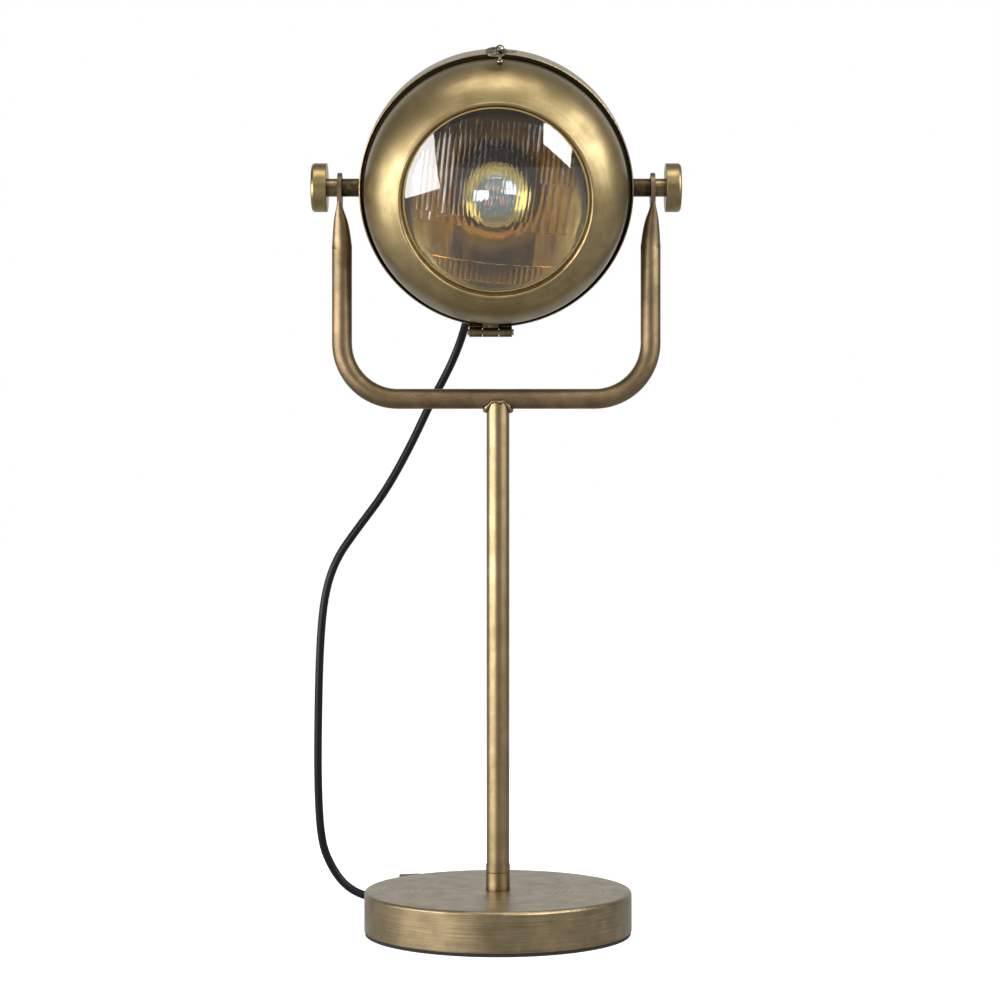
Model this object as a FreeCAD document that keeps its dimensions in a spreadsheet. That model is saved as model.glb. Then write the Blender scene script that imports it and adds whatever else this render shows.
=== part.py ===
"""Tabletop searchlight lamp, in millimetres, +Z up and the lens towards -Y.

The stand is a weighted spun base, a tube stem and a bent tube yoke with flattened ends.
The head is a spun bowl that tilts between the yoke's ends on two clamp knobs. Its bezel
carries the fluted lens and the reflector, and swings down on a hinge to reach the bulb.
The origin is on the table, in the middle of the lamp.
"""
import FreeCAD, Part
import math
import os

import Sketcher
from FreeCAD import Placement, Rotation, Vector

os.makedirs("parts", exist_ok=True)
doc = FreeCAD.newDocument("searchlight_lamp")

# Driving dimensions
SIZES = {
    "base_radius": 93.5,
    "base_top": 30.0,
    "base_edge_round": 2.2,
    "felt_thick": 2.5,
    "cover_sheet": 1.2,
    "weight_thick": 11.0,
    "stem_radius": 8.0,
    "stem_offset": 1.2,
    "foot_height": 18.0,
    "foot_radius": 8.4,
    "stud_radius": 5.0,
    "tube_radius": 7.0,
    "tube_wall": 1.2,
    "bar_height": 373.5,
    "arm_half_gap": 108.0,
    "bend_radius": 39.2,
    "arm_round_end": 478.0,
    "arm_flat_start": 511.0,
    "ear_half_gap": 109.4,
    "ear_thick": 3.0,
    "ear_width": 20.6,
    "pivot_height": 521.3,
    "head_tilt": 16.3,
    "rim_radius": 95.2,
    "rim_front": -20.0,
    "band_back": 8.0,
    "bowl_back": 57.0,
    "bowl_shoulder": 38.0,
    "head_sheet": 1.2,
    "nipple_radius": 5.0,
    "bezel_radius": 91.4,
    "bezel_sheet": 1.0,
    "bezel_back": -13.0,
    "dome_start": -24.0,
    "ring_radius": 67.4,
    "ring_front": -61.0,
    "sight_radius": 63.4,
    "lens_radius": 66.4,
    "lens_edge_front": -57.6,
    "lens_crown_front": -68.6,
    "lens_dome_reach": 62.4,
    "lens_thick": 3.2,
    "lens_back": -55.6,
    "lens_roll": 6.0,
    "mirror_mouth": 62.0,
    "mirror_hole": 27.5,
    "mirror_back": 1.0,
    "mirror_sweep": 178.0,
    "mirror_sheet": 0.8,
    "bulb_radius": 22.5,
    "bulb_centre": -31.0,
    "hinge_side": -4.0,
    "hinge_forward": -24.0,
    "hinge_drop": 98.0,
    "hinge_half_width": 15.0,
    "knuckle_radius": 3.4,
    "hinge_pin_radius": 1.5,
    "sleeve_radius": 6.3,
    "clamp_stud_radius": 4.0,
    "knob_radius": 17.0,
    "knob_inner": 118.2,
    "knob_outer": 129.4,
    "post_side": 2.6,
    "cord_diameter": 6.0,
}


class Size(float):
    """A length that also keeps the words by which the sheet works it out."""

    def __new__(cls, value, words=None):
        made = super().__new__(cls, value)
        made.words = words or repr(round(float(value), 6))
        return made

    @staticmethod
    def join(value, left, sign, right):
        left, right = (n if isinstance(n, Size) else Size(n) for n in (left, right))
        return Size(value, f"({left.words} {sign} {right.words})")

    def __add__(self, other):
        return Size.join(float(self) + float(other), self, "+", other)

    def __radd__(self, other):
        return Size.join(float(other) + float(self), other, "+", self)

    def __sub__(self, other):
        return Size.join(float(self) - float(other), self, "-", other)

    def __rsub__(self, other):
        return Size.join(float(other) - float(self), other, "-", self)

    def __mul__(self, other):
        return Size.join(float(self) * float(other), self, "*", other)

    def __rmul__(self, other):
        return Size.join(float(other) * float(self), other, "*", self)

    def __truediv__(self, other):
        return Size.join(float(self) / float(other), self, "/", other)

    def __neg__(self):
        return Size(-float(self), f"(0 - {self.words})")


# Sizes worked out from the driving ones: arcs that run smoothly into their neighbours
def bowl_crown():
    """The crown arc's radius and where the shoulder arc of the bowl hands over to it."""
    reach = SIZES["rim_radius"] - SIZES["bowl_shoulder"]
    rise = SIZES["bowl_back"] - SIZES["bowl_shoulder"] - SIZES["band_back"]
    shift = (reach**2 - rise**2) / (2 * rise)
    radius = SIZES["bowl_shoulder"] + math.hypot(reach, shift)
    lean = math.atan2(reach, shift)
    return radius, radius * math.sin(lean), SIZES["bowl_back"] - radius * (1 - math.cos(lean))


def bezel_dome():
    """The radius of the bezel's dome, which leaves the skirt smoothly and ends at the lens ring."""
    inward = SIZES["bezel_radius"] - SIZES["ring_radius"]
    forward = SIZES["dome_start"] - SIZES["ring_front"]
    return (inward**2 + forward**2) / (2 * inward)


def cap_radius(reach, rise):
    """The radius of a round cap that reaches this far from its axis and rises this much."""
    return (float(reach) ** 2 + float(rise) ** 2) / (2 * float(rise))


def lens_shell():
    """The lens's front and back radii, their shared middle, and how far the hollow back reaches."""
    front = cap_radius(SIZES["lens_dome_reach"], SIZES["lens_edge_front"] - SIZES["lens_crown_front"])
    middle = SIZES["lens_crown_front"] + front
    back = front - SIZES["lens_thick"]
    return front, back, middle, math.sqrt(back**2 - (middle - SIZES["lens_back"]) ** 2)


SIZES["crown_radius"], SIZES["crown_edge"], SIZES["crown_edge_back"] = map(lambda n: round(n, 4), bowl_crown())
SIZES["dome_radius"] = round(bezel_dome(), 4)
for word, value in zip(("front_radius", "back_radius", "middle", "hollow_reach"), lens_shell()):
    SIZES[f"lens_{word}"] = round(value, 4)

sheet = doc.addObject("Spreadsheet::Sheet", "Sizes")
for row, (word, value) in enumerate(SIZES.items(), 1):
    sheet.set(f"A{row}", word)
    sheet.set(f"B{row}", str(value))
    sheet.setAlias(f"B{row}", word)
doc.recompute()


class Words:
    """The sheet's sizes by name."""

    def __getattr__(self, word):
        return Size(SIZES[word], f"Sizes.{word}")


d = Words()

# Where each group of parts stands
HEAD_TURN = Rotation(Vector(1, 0, 0), SIZES["head_tilt"])
HEAD = Placement(Vector(0, 0, SIZES["pivot_height"]), HEAD_TURN)
STAND = Placement(Vector(SIZES["stem_offset"], 0, 0), Rotation())
YOKE = Placement()
subparts = []


def bind(thing, prop, size):
    """Ties a property to the sheet where the size comes from there."""
    if isinstance(size, Size) and "Sizes." in size.words:
        thing.setExpression(prop, size.words)
    else:
        thing.setExpression(prop, None)


def keep(thing, where=YOKE):
    """Puts a finished sub-part in its place; its label is its file's name."""
    thing.Placement = where
    if where is HEAD:
        bind(thing, "Placement.Base.z", d.pivot_height)
        bind(thing, "Placement.Rotation.Angle", d.head_tilt)
    if where is STAND:
        bind(thing, "Placement.Base.x", d.stem_offset)
    subparts.append(thing)
    return thing


def new_body(name):
    body = doc.addObject("PartDesign::Body", name)
    body.Label = name
    return body


def origin_plane(body, role):
    return next(feature for feature in body.Origin.OriginFeatures if feature.Role == role)


def arc_between(start, end, radius, turn):
    """The shorter arc from start to end: turn 1 is anticlockwise, -1 is clockwise."""
    chord = end - start
    reach = math.sqrt(max(radius**2 - (chord.Length / 2) ** 2, 0))
    left = Vector(-chord.y, chord.x, 0).normalize()
    centre = (start + end) * 0.5 + left * (reach * turn)
    first, last = (start, end) if turn > 0 else (end, start)
    angles = [math.atan2(point.y - centre.y, point.x - centre.x) for point in (first, last)]
    circle = Part.Circle(centre, Vector(0, 0, 1), radius)
    return Part.ArcOfCircle(circle, angles[0], angles[1])


def outline(sketch, points):
    """A closed outline. A point is (x, y), or (x, y, radius, turn) where an arc arrives at it."""
    corners = [Vector(float(point[0]), float(point[1]), 0) for point in points]
    ends = []
    for number, point in enumerate(points):
        after = (number + 1) % len(points)
        target = points[after]
        if len(target) > 2:
            arc = arc_between(corners[number], corners[after], float(target[2]), target[3])
            edge = sketch.addGeometry(arc)
            bound = sketch.addConstraint(Sketcher.Constraint("Radius", edge, float(target[2])))
            bind(sketch, f"Constraints[{bound}]", target[2])
            ends.append((edge, 1, 2) if target[3] > 0 else (edge, 2, 1))
        else:
            edge = sketch.addGeometry(Part.LineSegment(corners[number], corners[after]))
            ends.append((edge, 1, 2))
    for number, (edge, start, end) in enumerate(ends):
        following = ends[(number + 1) % len(ends)]
        sketch.addConstraint(Sketcher.Constraint("Coincident", edge, end, following[0], following[1]))
        for axis, size in zip(("DistanceX", "DistanceY"), points[number]):
            bound = sketch.addConstraint(Sketcher.Constraint(axis, -1, 1, edge, start, float(size)))
            bind(sketch, f"Constraints[{bound}]", size)


def circle(sketch, x, y, radius):
    """A circle placed and sized from the sheet."""
    shape = Part.Circle(Vector(float(x), float(y), 0), Vector(0, 0, 1), float(radius))
    edge = sketch.addGeometry(shape)
    for kind, size, at in (("DistanceX", x, (edge, 3)), ("DistanceY", y, (edge, 3))):
        bound = sketch.addConstraint(Sketcher.Constraint(kind, -1, 1, *at, float(size)))
        bind(sketch, f"Constraints[{bound}]", size)
    bound = sketch.addConstraint(Sketcher.Constraint("Radius", edge, float(radius)))
    bind(sketch, f"Constraints[{bound}]", radius)


def sketch_on(body, role, label, offset=None):
    """An empty sketch on one of the body's own planes, moved off it where offset is given."""
    sketch = body.newObject("Sketcher::SketchObject", f"{body.Name}_{label}")
    sketch.AttachmentSupport = [(origin_plane(body, role), "")]
    sketch.MapMode = "FlatFace"
    if isinstance(offset, Placement):
        sketch.AttachmentOffset = offset
    elif offset is not None:
        sketch.AttachmentOffset = Placement(Vector(0, 0, float(offset)), Rotation())
        bind(sketch, "AttachmentOffset.Base.z", offset)
    return sketch


def turned(name, points, role="XY_Plane", angle=360.0):
    """A body turned about its upright sketch axis; part of a turn lies evenly on both sides."""
    body = new_body(name)
    sketch = sketch_on(body, role, "profile")
    outline(sketch, points)
    turn = body.newObject("PartDesign::Revolution", f"{name}_turned")
    turn.Profile = sketch
    turn.ReferenceAxis = (sketch, ["V_Axis"])
    turn.Angle = angle
    turn.Midplane = angle < 360.0
    return body


def drilled(body, role, label, x, y, radius, length, offset=None):
    """A round hole through the body, running both ways from the plane that it is drawn on."""
    sketch = sketch_on(body, role, label, offset)
    circle(sketch, x, y, radius)
    doc.recompute()
    before = body.Shape.Volume
    pocket = body.newObject("PartDesign::Pocket", f"{body.Name}_{label}_hole")
    pocket.Profile = sketch
    pocket.Length = length
    pocket.Midplane = True
    doc.recompute()
    if body.Shape.Volume > before - 0.01:
        raise RuntimeError(f"the hole {label} in {body.Name} cuts nothing")


def solid_cylinder(name, radius, height, base=Vector(), along=Vector(0, 0, 1)):
    """A cylinder from base along a direction."""
    cylinder = doc.addObject("Part::Cylinder", name)
    cylinder.Radius = float(radius)
    cylinder.Height = float(height)
    bind(cylinder, "Radius", radius)
    bind(cylinder, "Height", height)
    cylinder.Placement = Placement(base, Rotation(Vector(0, 0, 1), along))
    return cylinder


def box(name, low, high):
    """A box between two corners."""
    made = doc.addObject("Part::Box", name)
    made.Length = float(high[0]) - float(low[0])
    made.Width = float(high[1]) - float(low[1])
    made.Height = float(high[2]) - float(low[2])
    made.Placement.Base = Vector(*map(float, low))
    return made


def cut(name, base, *tools):
    """The base less each tool."""
    for number, tool in enumerate(tools, 1):
        made = doc.addObject("Part::Cut", name if number == len(tools) else f"{name}_cut{number}")
        made.Base = base
        made.Tool = tool
        base = made
    base.Label = name
    return base


def fused(name, *pieces):
    made = doc.addObject("Part::MultiFuse", name)
    made.Shapes = list(pieces)
    made.Label = name
    return made


def group(name, pieces):
    """Like pieces in one node, each a solid of its own."""
    made = doc.addObject("Part::Compound", name)
    made.Links = pieces
    made.Label = name
    return made


def hexagon(name, across, thick, bore, base, along):
    """A hexagon nut with a plain bore."""
    prism = doc.addObject("Part::Prism", f"{name}_prism")
    prism.Polygon = 6
    prism.Circumradius = across / math.sqrt(3)
    prism.Height = thick
    prism.Placement = Placement(base, Rotation(Vector(0, 0, 1), along))
    hole = solid_cylinder(f"{name}_bore", bore, thick + 2, base - along, along)
    return cut(name, prism, hole)


# Stand: base
def make_base():
    bore = d.stud_radius + 0.3
    under = d.base_top - d.cover_sheet
    inner = d.base_radius - d.cover_sheet
    edge = d.base_edge_round
    cover = [
        (bore, under),
        (inner - edge + d.cover_sheet, under),
        (inner, under - edge + d.cover_sheet, edge - d.cover_sheet, -1),
        (inner, d.felt_thick),
        (d.base_radius, d.felt_thick),
        (d.base_radius, d.base_top - edge),
        (d.base_radius - edge, d.base_top, edge, 1),
        (bore, d.base_top),
    ]
    keep(turned("base_cover", cover, "XZ_Plane"), STAND)

    recess_radius = 14.0
    recess_top = 8.0
    boss_radius = 16.0
    boss_fillet = 4.0
    rim = inner - 0.4
    top = d.felt_thick + d.weight_thick
    weight = [
        (bore, recess_top),
        (recess_radius, recess_top),
        (recess_radius, d.felt_thick),
        (rim, d.felt_thick),
        (rim, top),
        (boss_radius + boss_fillet, top),
        (boss_radius, top + boss_fillet, boss_fillet, -1),
        (boss_radius, under),
        (bore, under),
    ]
    keep(turned("base_weight", weight, "XZ_Plane"), STAND)
    keep(solid_cylinder("base_felt", d.base_radius - 0.6, d.felt_thick), STAND)

    washer_thick = 1.6
    washer = [
        (bore, recess_top - washer_thick),
        (12.0, recess_top - washer_thick),
        (12.0, recess_top),
        (bore, recess_top),
    ]
    keep(turned("base_washer", washer, "XZ_Plane"), STAND)
    nut_thick = 3.5
    nut_base = Vector(0, 0, recess_top - washer_thick - nut_thick)
    keep(hexagon("base_nut", 17.0, nut_thick, d.stud_radius + 0.05, nut_base, Vector(0, 0, 1)), STAND)


# Stand: stem
def make_stem():
    seat = d.base_top
    top = d.base_top + d.foot_height
    groove = 12.3
    spigot = d.stem_radius - d.tube_wall - 0.1
    foot = [
        (0, 3.1),
        (d.stud_radius, 3.1),
        (d.stud_radius, seat),
        (d.foot_radius, seat),
        (d.foot_radius, seat + groove),
        (d.foot_radius - 0.35, seat + groove + 0.3),
        (d.foot_radius, seat + groove + 0.6),
        (d.foot_radius, top),
        (spigot, top),
        (spigot, top + 14.0),
        (0, top + 14.0),
    ]
    keep(turned("stem_foot", foot, "XZ_Plane"), STAND)

    saddle_top = d.bar_height - 2.0
    tube = [
        (d.stem_radius - d.tube_wall, top),
        (d.stem_radius, top),
        (d.stem_radius, saddle_top),
        (d.stem_radius - d.tube_wall, saddle_top),
    ]
    blank = turned("stem_blank", tube, "XZ_Plane")
    bar_start = Vector(-20, 0, SIZES["bar_height"])
    saddle = solid_cylinder("stem_saddle", d.tube_radius + 0.02, 40.0, bar_start, Vector(1, 0, 0))
    keep(cut("stem_tube", blank, saddle), STAND)

    bead = doc.addObject("Part::Torus", "weld_ring")
    bead.Radius1 = 8.4
    bead.Radius2 = 2.3
    bead.Placement.Base = Vector(0, 0, SIZES["bar_height"] - 6.6)
    bar = solid_cylinder("weld_bar", d.tube_radius + 0.02, 40.0, bar_start, Vector(1, 0, 0))
    post_start = Vector(0, 0, SIZES["bar_height"] - 20)
    post = solid_cylinder("weld_post", d.stem_radius + 0.02, 40.0, post_start)
    keep(cut("weld_bead", bead, bar, post), STAND)


# Stand: yoke, one tube whose ends are squeezed flat into ears
def squeezed(sketch, x, thick, width):
    """The tube's outline where it is squeezed to this thickness and has spread to this width."""
    half = thick / 2
    side = (width - thick) / 2
    bulge = math.sqrt(0.5)
    if float(side) < 0.01:
        corner = half * bulge
        points = [
            (x + corner, corner),
            (x - corner, corner, half, 1),
            (x - corner, -corner, half, 1),
            (x + corner, -corner, half, 1),
        ]
        points[0] = points[0] + (half, 1)
    else:
        points = [
            (x + half, side),
            (x - half, side, half * 1.0001, 1),
            (x - half, -side),
            (x + half, -side, half * 1.0001, 1),
        ]
    outline(sketch, points)


def make_yoke():
    body = new_body("yoke_tube")
    spine = sketch_on(body, "XZ_Plane", "spine")
    low = float(d.bar_height)
    arm = float(d.arm_half_gap)
    bend = float(d.bend_radius)
    top = float(d.arm_round_end)
    path = [
        Part.LineSegment(Vector(-arm, top, 0), Vector(-arm, low + bend, 0)),
        arc_between(Vector(-arm, low + bend, 0), Vector(-arm + bend, low, 0), bend, 1),
        Part.LineSegment(Vector(-arm + bend, low, 0), Vector(arm - bend, low, 0)),
        arc_between(Vector(arm - bend, low, 0), Vector(arm, low + bend, 0), bend, 1),
        Part.LineSegment(Vector(arm, low + bend, 0), Vector(arm, top, 0)),
    ]
    for edge in path:
        spine.addGeometry(edge)
    for number in range(4):
        spine.addConstraint(Sketcher.Constraint("Coincident", number, 2, number + 1, 1))
    corners = [
        (0, 1, -d.arm_half_gap, d.arm_round_end),
        (1, 1, -d.arm_half_gap, d.bar_height + d.bend_radius),
        (2, 1, d.bend_radius - d.arm_half_gap, d.bar_height),
        (3, 1, d.arm_half_gap - d.bend_radius, d.bar_height),
        (4, 1, d.arm_half_gap, d.bar_height + d.bend_radius),
        (4, 2, d.arm_half_gap, d.arm_round_end),
    ]
    for edge, end, x, z in corners:
        for kind, size in (("DistanceX", x), ("DistanceY", z)):
            bound = spine.addConstraint(Sketcher.Constraint(kind, -1, 1, edge, end, float(size)))
            bind(spine, f"Constraints[{bound}]", size)
    for edge in (1, 3):
        bound = spine.addConstraint(Sketcher.Constraint("Radius", edge, bend))
        bind(spine, f"Constraints[{bound}]", d.bend_radius)

    section = sketch_on(body, "XY_Plane", "section", d.arm_round_end)
    circle(section, -d.arm_half_gap, 0, d.tube_radius)
    circle(section, -d.arm_half_gap, 0, d.tube_radius - d.tube_wall)
    pipe = body.newObject("PartDesign::AdditivePipe", "yoke_bent_tube")
    pipe.Profile = section
    pipe.Spine = (spine, [])

    # Height up the arm, thickness, width, and how far the middle has moved out
    bore = 2 * d.tube_radius
    spread = d.ear_half_gap - d.arm_half_gap
    stages = [
        (d.arm_round_end, bore, bore, 0.0),
        (Size(485.0), bore - 1.0, bore + 1.0, spread * 0.1),
        (Size(492.0), bore - 2.7, bore + 2.4, spread * 0.3),
        (Size(499.0), bore - 5.2, bore + 4.2, spread * 0.6),
        (Size(505.0), d.ear_thick + 2.2, bore + 6.0, spread * 0.9),
        (d.arm_flat_start, d.ear_thick, d.ear_width, spread),
    ]
    sections = []
    for number, (height, thick, width, out) in enumerate(stages):
        sketch = sketch_on(body, "XY_Plane", f"squeeze{number}", height)
        squeezed(sketch, d.arm_half_gap + out, thick, width)
        sections.append(sketch)
    loft = body.newObject("PartDesign::AdditiveLoft", "yoke_squeeze")
    loft.Profile = sections[0]
    loft.Sections = sections[1:]

    hollows = []
    twice = 2 * d.tube_wall
    for number, (height, thick, width, out) in enumerate(stages[:-1]):
        sketch = sketch_on(body, "XY_Plane", f"hollow{number}", height)
        squeezed(sketch, d.arm_half_gap + out, thick - twice, width - twice)
        hollows.append(sketch)
    inside = body.newObject("PartDesign::SubtractiveLoft", "yoke_squeeze_hollow")
    inside.Profile = hollows[0]
    inside.Sections = hollows[1:]

    # The ear's flat plate, rounded about the pivot
    plate = sketch_on(body, "YZ_Plane", "ear", d.ear_half_gap - d.ear_thick / 2)
    half = d.ear_width / 2
    ear = [
        (-half, d.arm_flat_start),
        (half, d.arm_flat_start),
        (half, d.pivot_height),
        (0, d.pivot_height + half, half, 1),
        (-half, d.pivot_height, half, 1),
    ]
    outline(plate, ear)
    pad = body.newObject("PartDesign::Pad", "yoke_ear")
    pad.Profile = plate
    pad.Length = float(d.ear_thick)
    bind(pad, "Length", d.ear_thick)
    mirror = body.newObject("PartDesign::Mirrored", "yoke_other_side")
    mirror.Originals = [loft, inside, pad]
    mirror.MirrorPlane = (origin_plane(body, "YZ_Plane"), [""])
    body.Tip = mirror
    doc.recompute()
    drilled(body, "YZ_Plane", "pivot", 0, d.pivot_height, d.clamp_stud_radius + 0.07, 260.0)
    # The vent that opens the bar into the stem
    drilled(body, "XY_Plane", "vent", d.stem_offset, 0, 3.0, 10.0, d.bar_height - d.tube_radius)
    keep(body)


# Head: the bowl, with its sleeves and nuts for the clamp knobs
def make_housing():
    outer_shoulder = d.bowl_shoulder
    wall = d.head_sheet
    lean = math.asin(SIZES["crown_edge"] / SIZES["crown_radius"])
    inner_edge = d.crown_edge - wall * math.sin(lean)
    inner_edge_back = d.crown_edge_back - wall * math.cos(lean)
    bore = d.nipple_radius + 0.1
    sag = SIZES["crown_radius"] - math.sqrt(SIZES["crown_radius"] ** 2 - float(bore) ** 2)
    lip = wall / 2
    points = [
        (d.rim_radius, d.rim_front + lip),
        (d.rim_radius, d.band_back),
        (d.crown_edge, d.crown_edge_back, outer_shoulder, 1),
        (bore, d.bowl_back - sag, d.crown_radius, 1),
        (bore, d.bowl_back - wall - sag),
        (inner_edge, inner_edge_back, d.crown_radius - wall, -1),
        (d.rim_radius - wall, d.band_back, outer_shoulder - wall, -1),
        (d.rim_radius - wall, d.rim_front + lip),
        (d.rim_radius - lip, d.rim_front, lip * 1.0001, 1),
    ]
    points[0] = points[0] + (lip * 1.0001, 1)
    body = turned("housing", points)
    drilled(body, "YZ_Plane", "pivot", 0, 0, d.clamp_stud_radius + 0.3, 220.0)
    grip_hole = Placement(GRIP_POINT, Rotation(Vector(0, 0, 1), GRIP_WAY))
    drilled(body, "XY_Plane", "cord", 0, 0, 5.3, 16.0, grip_hole)
    keep(body, HEAD)


# The cord grip's place on the bowl's shoulder, low and a little to the left, and its outward way
GRIP_LEAN = math.radians(30)
GRIP_TURN = math.radians(12)
GRIP_REACH = SIZES["rim_radius"] - SIZES["bowl_shoulder"] * (1 - math.cos(GRIP_LEAN))
GRIP_WAY = Vector(
    -math.sin(GRIP_TURN) * math.cos(GRIP_LEAN), math.sin(GRIP_LEAN), -math.cos(GRIP_TURN) * math.cos(GRIP_LEAN)
)
GRIP_POINT = Vector(
    -math.sin(GRIP_TURN) * GRIP_REACH,
    SIZES["band_back"] + SIZES["bowl_shoulder"] * math.sin(GRIP_LEAN),
    -math.cos(GRIP_TURN) * GRIP_REACH,
)
GRIP_LENGTH = 16.0


def make_cord_grip():
    grip = [
        (0, -7.0),
        (7.0, -7.0),
        (7.0, -3.4),
        (5.1, -3.4),
        (5.1, 0.1),
        (7.2, 0.1),
        (7.2, 1.7),
        (5.6, 2.3),
        (4.1, GRIP_LENGTH),
        (0, GRIP_LENGTH),
    ]
    body = turned("cord_grip", grip)
    keep(body, HEAD * Placement(GRIP_POINT, Rotation(Vector(0, 1, 0), GRIP_WAY)))


def side_placement(side):
    """Turns a part made along +Y so that it points out of the head's side, right 1 or left -1."""
    return Placement(Vector(0, 0, SIZES["pivot_height"]), Rotation(Vector(0, 0, 1), -90.0 * side))


def make_pivots():
    """On each side: a sleeve and a nut on the head, and a knob with its stud."""
    bore = d.clamp_stud_radius + 0.3
    ear_inner = d.ear_half_gap - d.ear_thick / 2
    ear_outer = d.ear_half_gap + d.ear_thick / 2
    for side, word in ((-1, "left"), (1, "right")):
        sleeve = [
            (bore, d.rim_radius + 0.05),
            (d.sleeve_radius, d.rim_radius + 0.05),
            (d.sleeve_radius, ear_inner - 0.1),
            (bore, ear_inner - 0.1),
        ]
        keep(turned(f"pivot_sleeve_{word}", sleeve), side_placement(side))

        stud = [
            (0, 87.0),
            (d.clamp_stud_radius - 0.8, 87.0),
            (d.clamp_stud_radius, 87.8),
            (d.clamp_stud_radius, d.knob_outer - 6.0),
            (0, d.knob_outer - 6.0),
        ]
        keep(turned(f"knob_stud_{word}", stud), side_placement(side))

        hole = d.clamp_stud_radius + 0.02
        round_out = 2.4
        rise = 0.4
        face = d.knob_radius - round_out
        knob = [
            (hole, ear_outer + 0.1),
            (d.sleeve_radius, ear_outer + 0.1),
            (d.sleeve_radius, d.knob_inner),
            (d.knob_radius - 0.6, d.knob_inner),
            (d.knob_radius, d.knob_inner + 0.6, 0.6, 1),
            (d.knob_radius, d.knob_outer - rise - round_out),
            (face, d.knob_outer - rise, round_out, 1),
            (0, d.knob_outer, cap_radius(face, rise), 1),
            (0, d.knob_outer - 5.9),
            (hole, d.knob_outer - 5.9),
        ]
        keep(turned(f"knob_{word}", knob), side_placement(side))

        nut = hexagon(
            f"pivot_nut_{word}", 13.0, 5.0, d.clamp_stud_radius + 0.06, Vector(0, 88.5, 0), Vector(0, 1, 0)
        )
        keep(nut, HEAD * Placement(Vector(), Rotation(Vector(0, 0, 1), -90.0 * side)))


# Head: lampholder and bulb
def make_lampholder():
    mouth = -3.0
    floor = 22.5
    back = 42.0
    holder = [
        (14.0, mouth),
        (19.0, mouth),
        (19.0, 20.0),
        (17.6, 21.4),
        (17.6, 30.0),
        (11.0, back, 14.0, 1),
        (d.nipple_radius + 0.1, back),
        (d.nipple_radius + 0.1, floor + 4.0),
        (3.0, floor + 4.0),
        (3.0, floor),
        (14.0, floor),
    ]
    keep(turned("lampholder", holder), HEAD)
    nipple = [
        (3.6, 30.0),
        (d.nipple_radius, 30.0),
        (d.nipple_radius, 65.0),
        (3.6, 65.0),
    ]
    keep(turned("holder_nipple", nipple), HEAD)
    bore = d.nipple_radius + 0.05
    back_way = Vector(0, 1, 0)
    inner = hexagon("holder_nut_inner", 15.0, 4.0, bore, Vector(0, 51.4, 0), back_way)
    outer = hexagon("holder_nut_outer", 15.0, 4.0, bore, Vector(0, 57.1, 0), back_way)
    keep(group("holder_nuts", [inner, outer]), HEAD)


def make_bulb():
    radius = d.bulb_radius
    centre = d.bulb_centre
    wall = 0.7
    neck = 14.0
    neck_back = centre + math.sqrt(float(radius) ** 2 - neck**2)
    inner_back = centre + math.sqrt((float(radius) - wall) ** 2 - (neck - wall) ** 2)
    seam = -6.4
    glass = [
        (0, centre - radius + wall),
        (neck - wall, inner_back - 0.01, radius - wall, 1),
        (11.8, seam),
        (12.5, seam),
        (neck, neck_back - 0.01),
        (0, centre - radius, radius, -1),
    ]
    # The crown of the globe is more than half a circle from the neck, so it has a point at its waist
    glass.insert(1, (radius - wall, centre, radius - wall, 1))
    glass.insert(6, (radius, centre, radius, -1))
    keep(turned("bulb_glass", glass), HEAD)
    cap = [
        (0, seam + 0.05),
        (13.1, seam + 0.05),
        (13.1, 14.0),
        (10.0, 17.0),
        (4.5, 19.0),
        (4.5, 20.5),
        (0, 20.5),
    ]
    keep(turned("bulb_cap", cap), HEAD)
    stem = [
        (0, -29.0),
        (1.6, -28.5),
        (2.2, -18.0),
        (5.5, seam),
        (0, seam),
    ]
    keep(turned("bulb_stem", stem), HEAD)

    count = 4
    length = 20.0
    spread = 5.5
    filaments = []
    for number in range(count):
        angle = math.radians(45 + number * 360 / count)
        foot = Vector(math.cos(angle) * 4.4, -21.0, math.sin(angle) * 4.4)
        tip = Vector(math.cos(angle) * (spread + 2), -21.0 - length, math.sin(angle) * (spread + 2))
        filaments.append(solid_cylinder(f"filament_{number}", 0.8, length, foot, tip - foot))
    keep(group("bulb_filaments", filaments), HEAD)


# Bezel: shell, lens, reflector and clips
def dome_reach(radius, forward):
    """How far from the head's axis the dome's arc of this radius is at this depth."""
    middle = SIZES["bezel_radius"] - SIZES["dome_radius"]
    return middle + math.sqrt(float(radius) ** 2 - (float(forward) - SIZES["dome_start"]) ** 2)


POST_LEAN = math.radians(15.7)
POST_POINT = Vector(
    SIZES["post_side"],
    SIZES["dome_start"] - SIZES["dome_radius"] * math.sin(POST_LEAN),
    SIZES["bezel_radius"] - SIZES["dome_radius"] * (1 - math.cos(POST_LEAN)),
)
POST_WAY = Vector(0, -math.sin(POST_LEAN), math.cos(POST_LEAN))


def make_bezel():
    flange = 2.0
    wall = d.bezel_sheet
    lip_back = d.lens_edge_front - 0.6
    inner_dome = d.dome_radius - wall
    inner_front = -59.6
    points = [
        (d.bezel_radius + flange, d.bezel_back - wall),
        (d.bezel_radius, d.bezel_back - wall),
        (d.bezel_radius, d.dome_start),
        (d.ring_radius, d.ring_front, d.dome_radius, -1),
        (d.ring_radius - 2.8, d.ring_front + 0.4, 1.5, -1),
        (d.sight_radius, lip_back),
        (d.sight_radius + 1.2, lip_back),
        (d.sight_radius + 2.3, inner_front),
        (Size(dome_reach(inner_dome, inner_front)), inner_front),
        (d.bezel_radius - wall, d.dome_start, inner_dome, 1),
        (d.bezel_radius - wall, d.bezel_back),
        (d.bezel_radius + flange, d.bezel_back),
    ]
    body = turned("bezel_shell", points)
    hole = Placement(POST_POINT, Rotation(Vector(0, 0, 1), POST_WAY))
    drilled(body, "XY_Plane", "post", 0, 0, 1.3, 6.0, hole)
    keep(body, HEAD)


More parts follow.
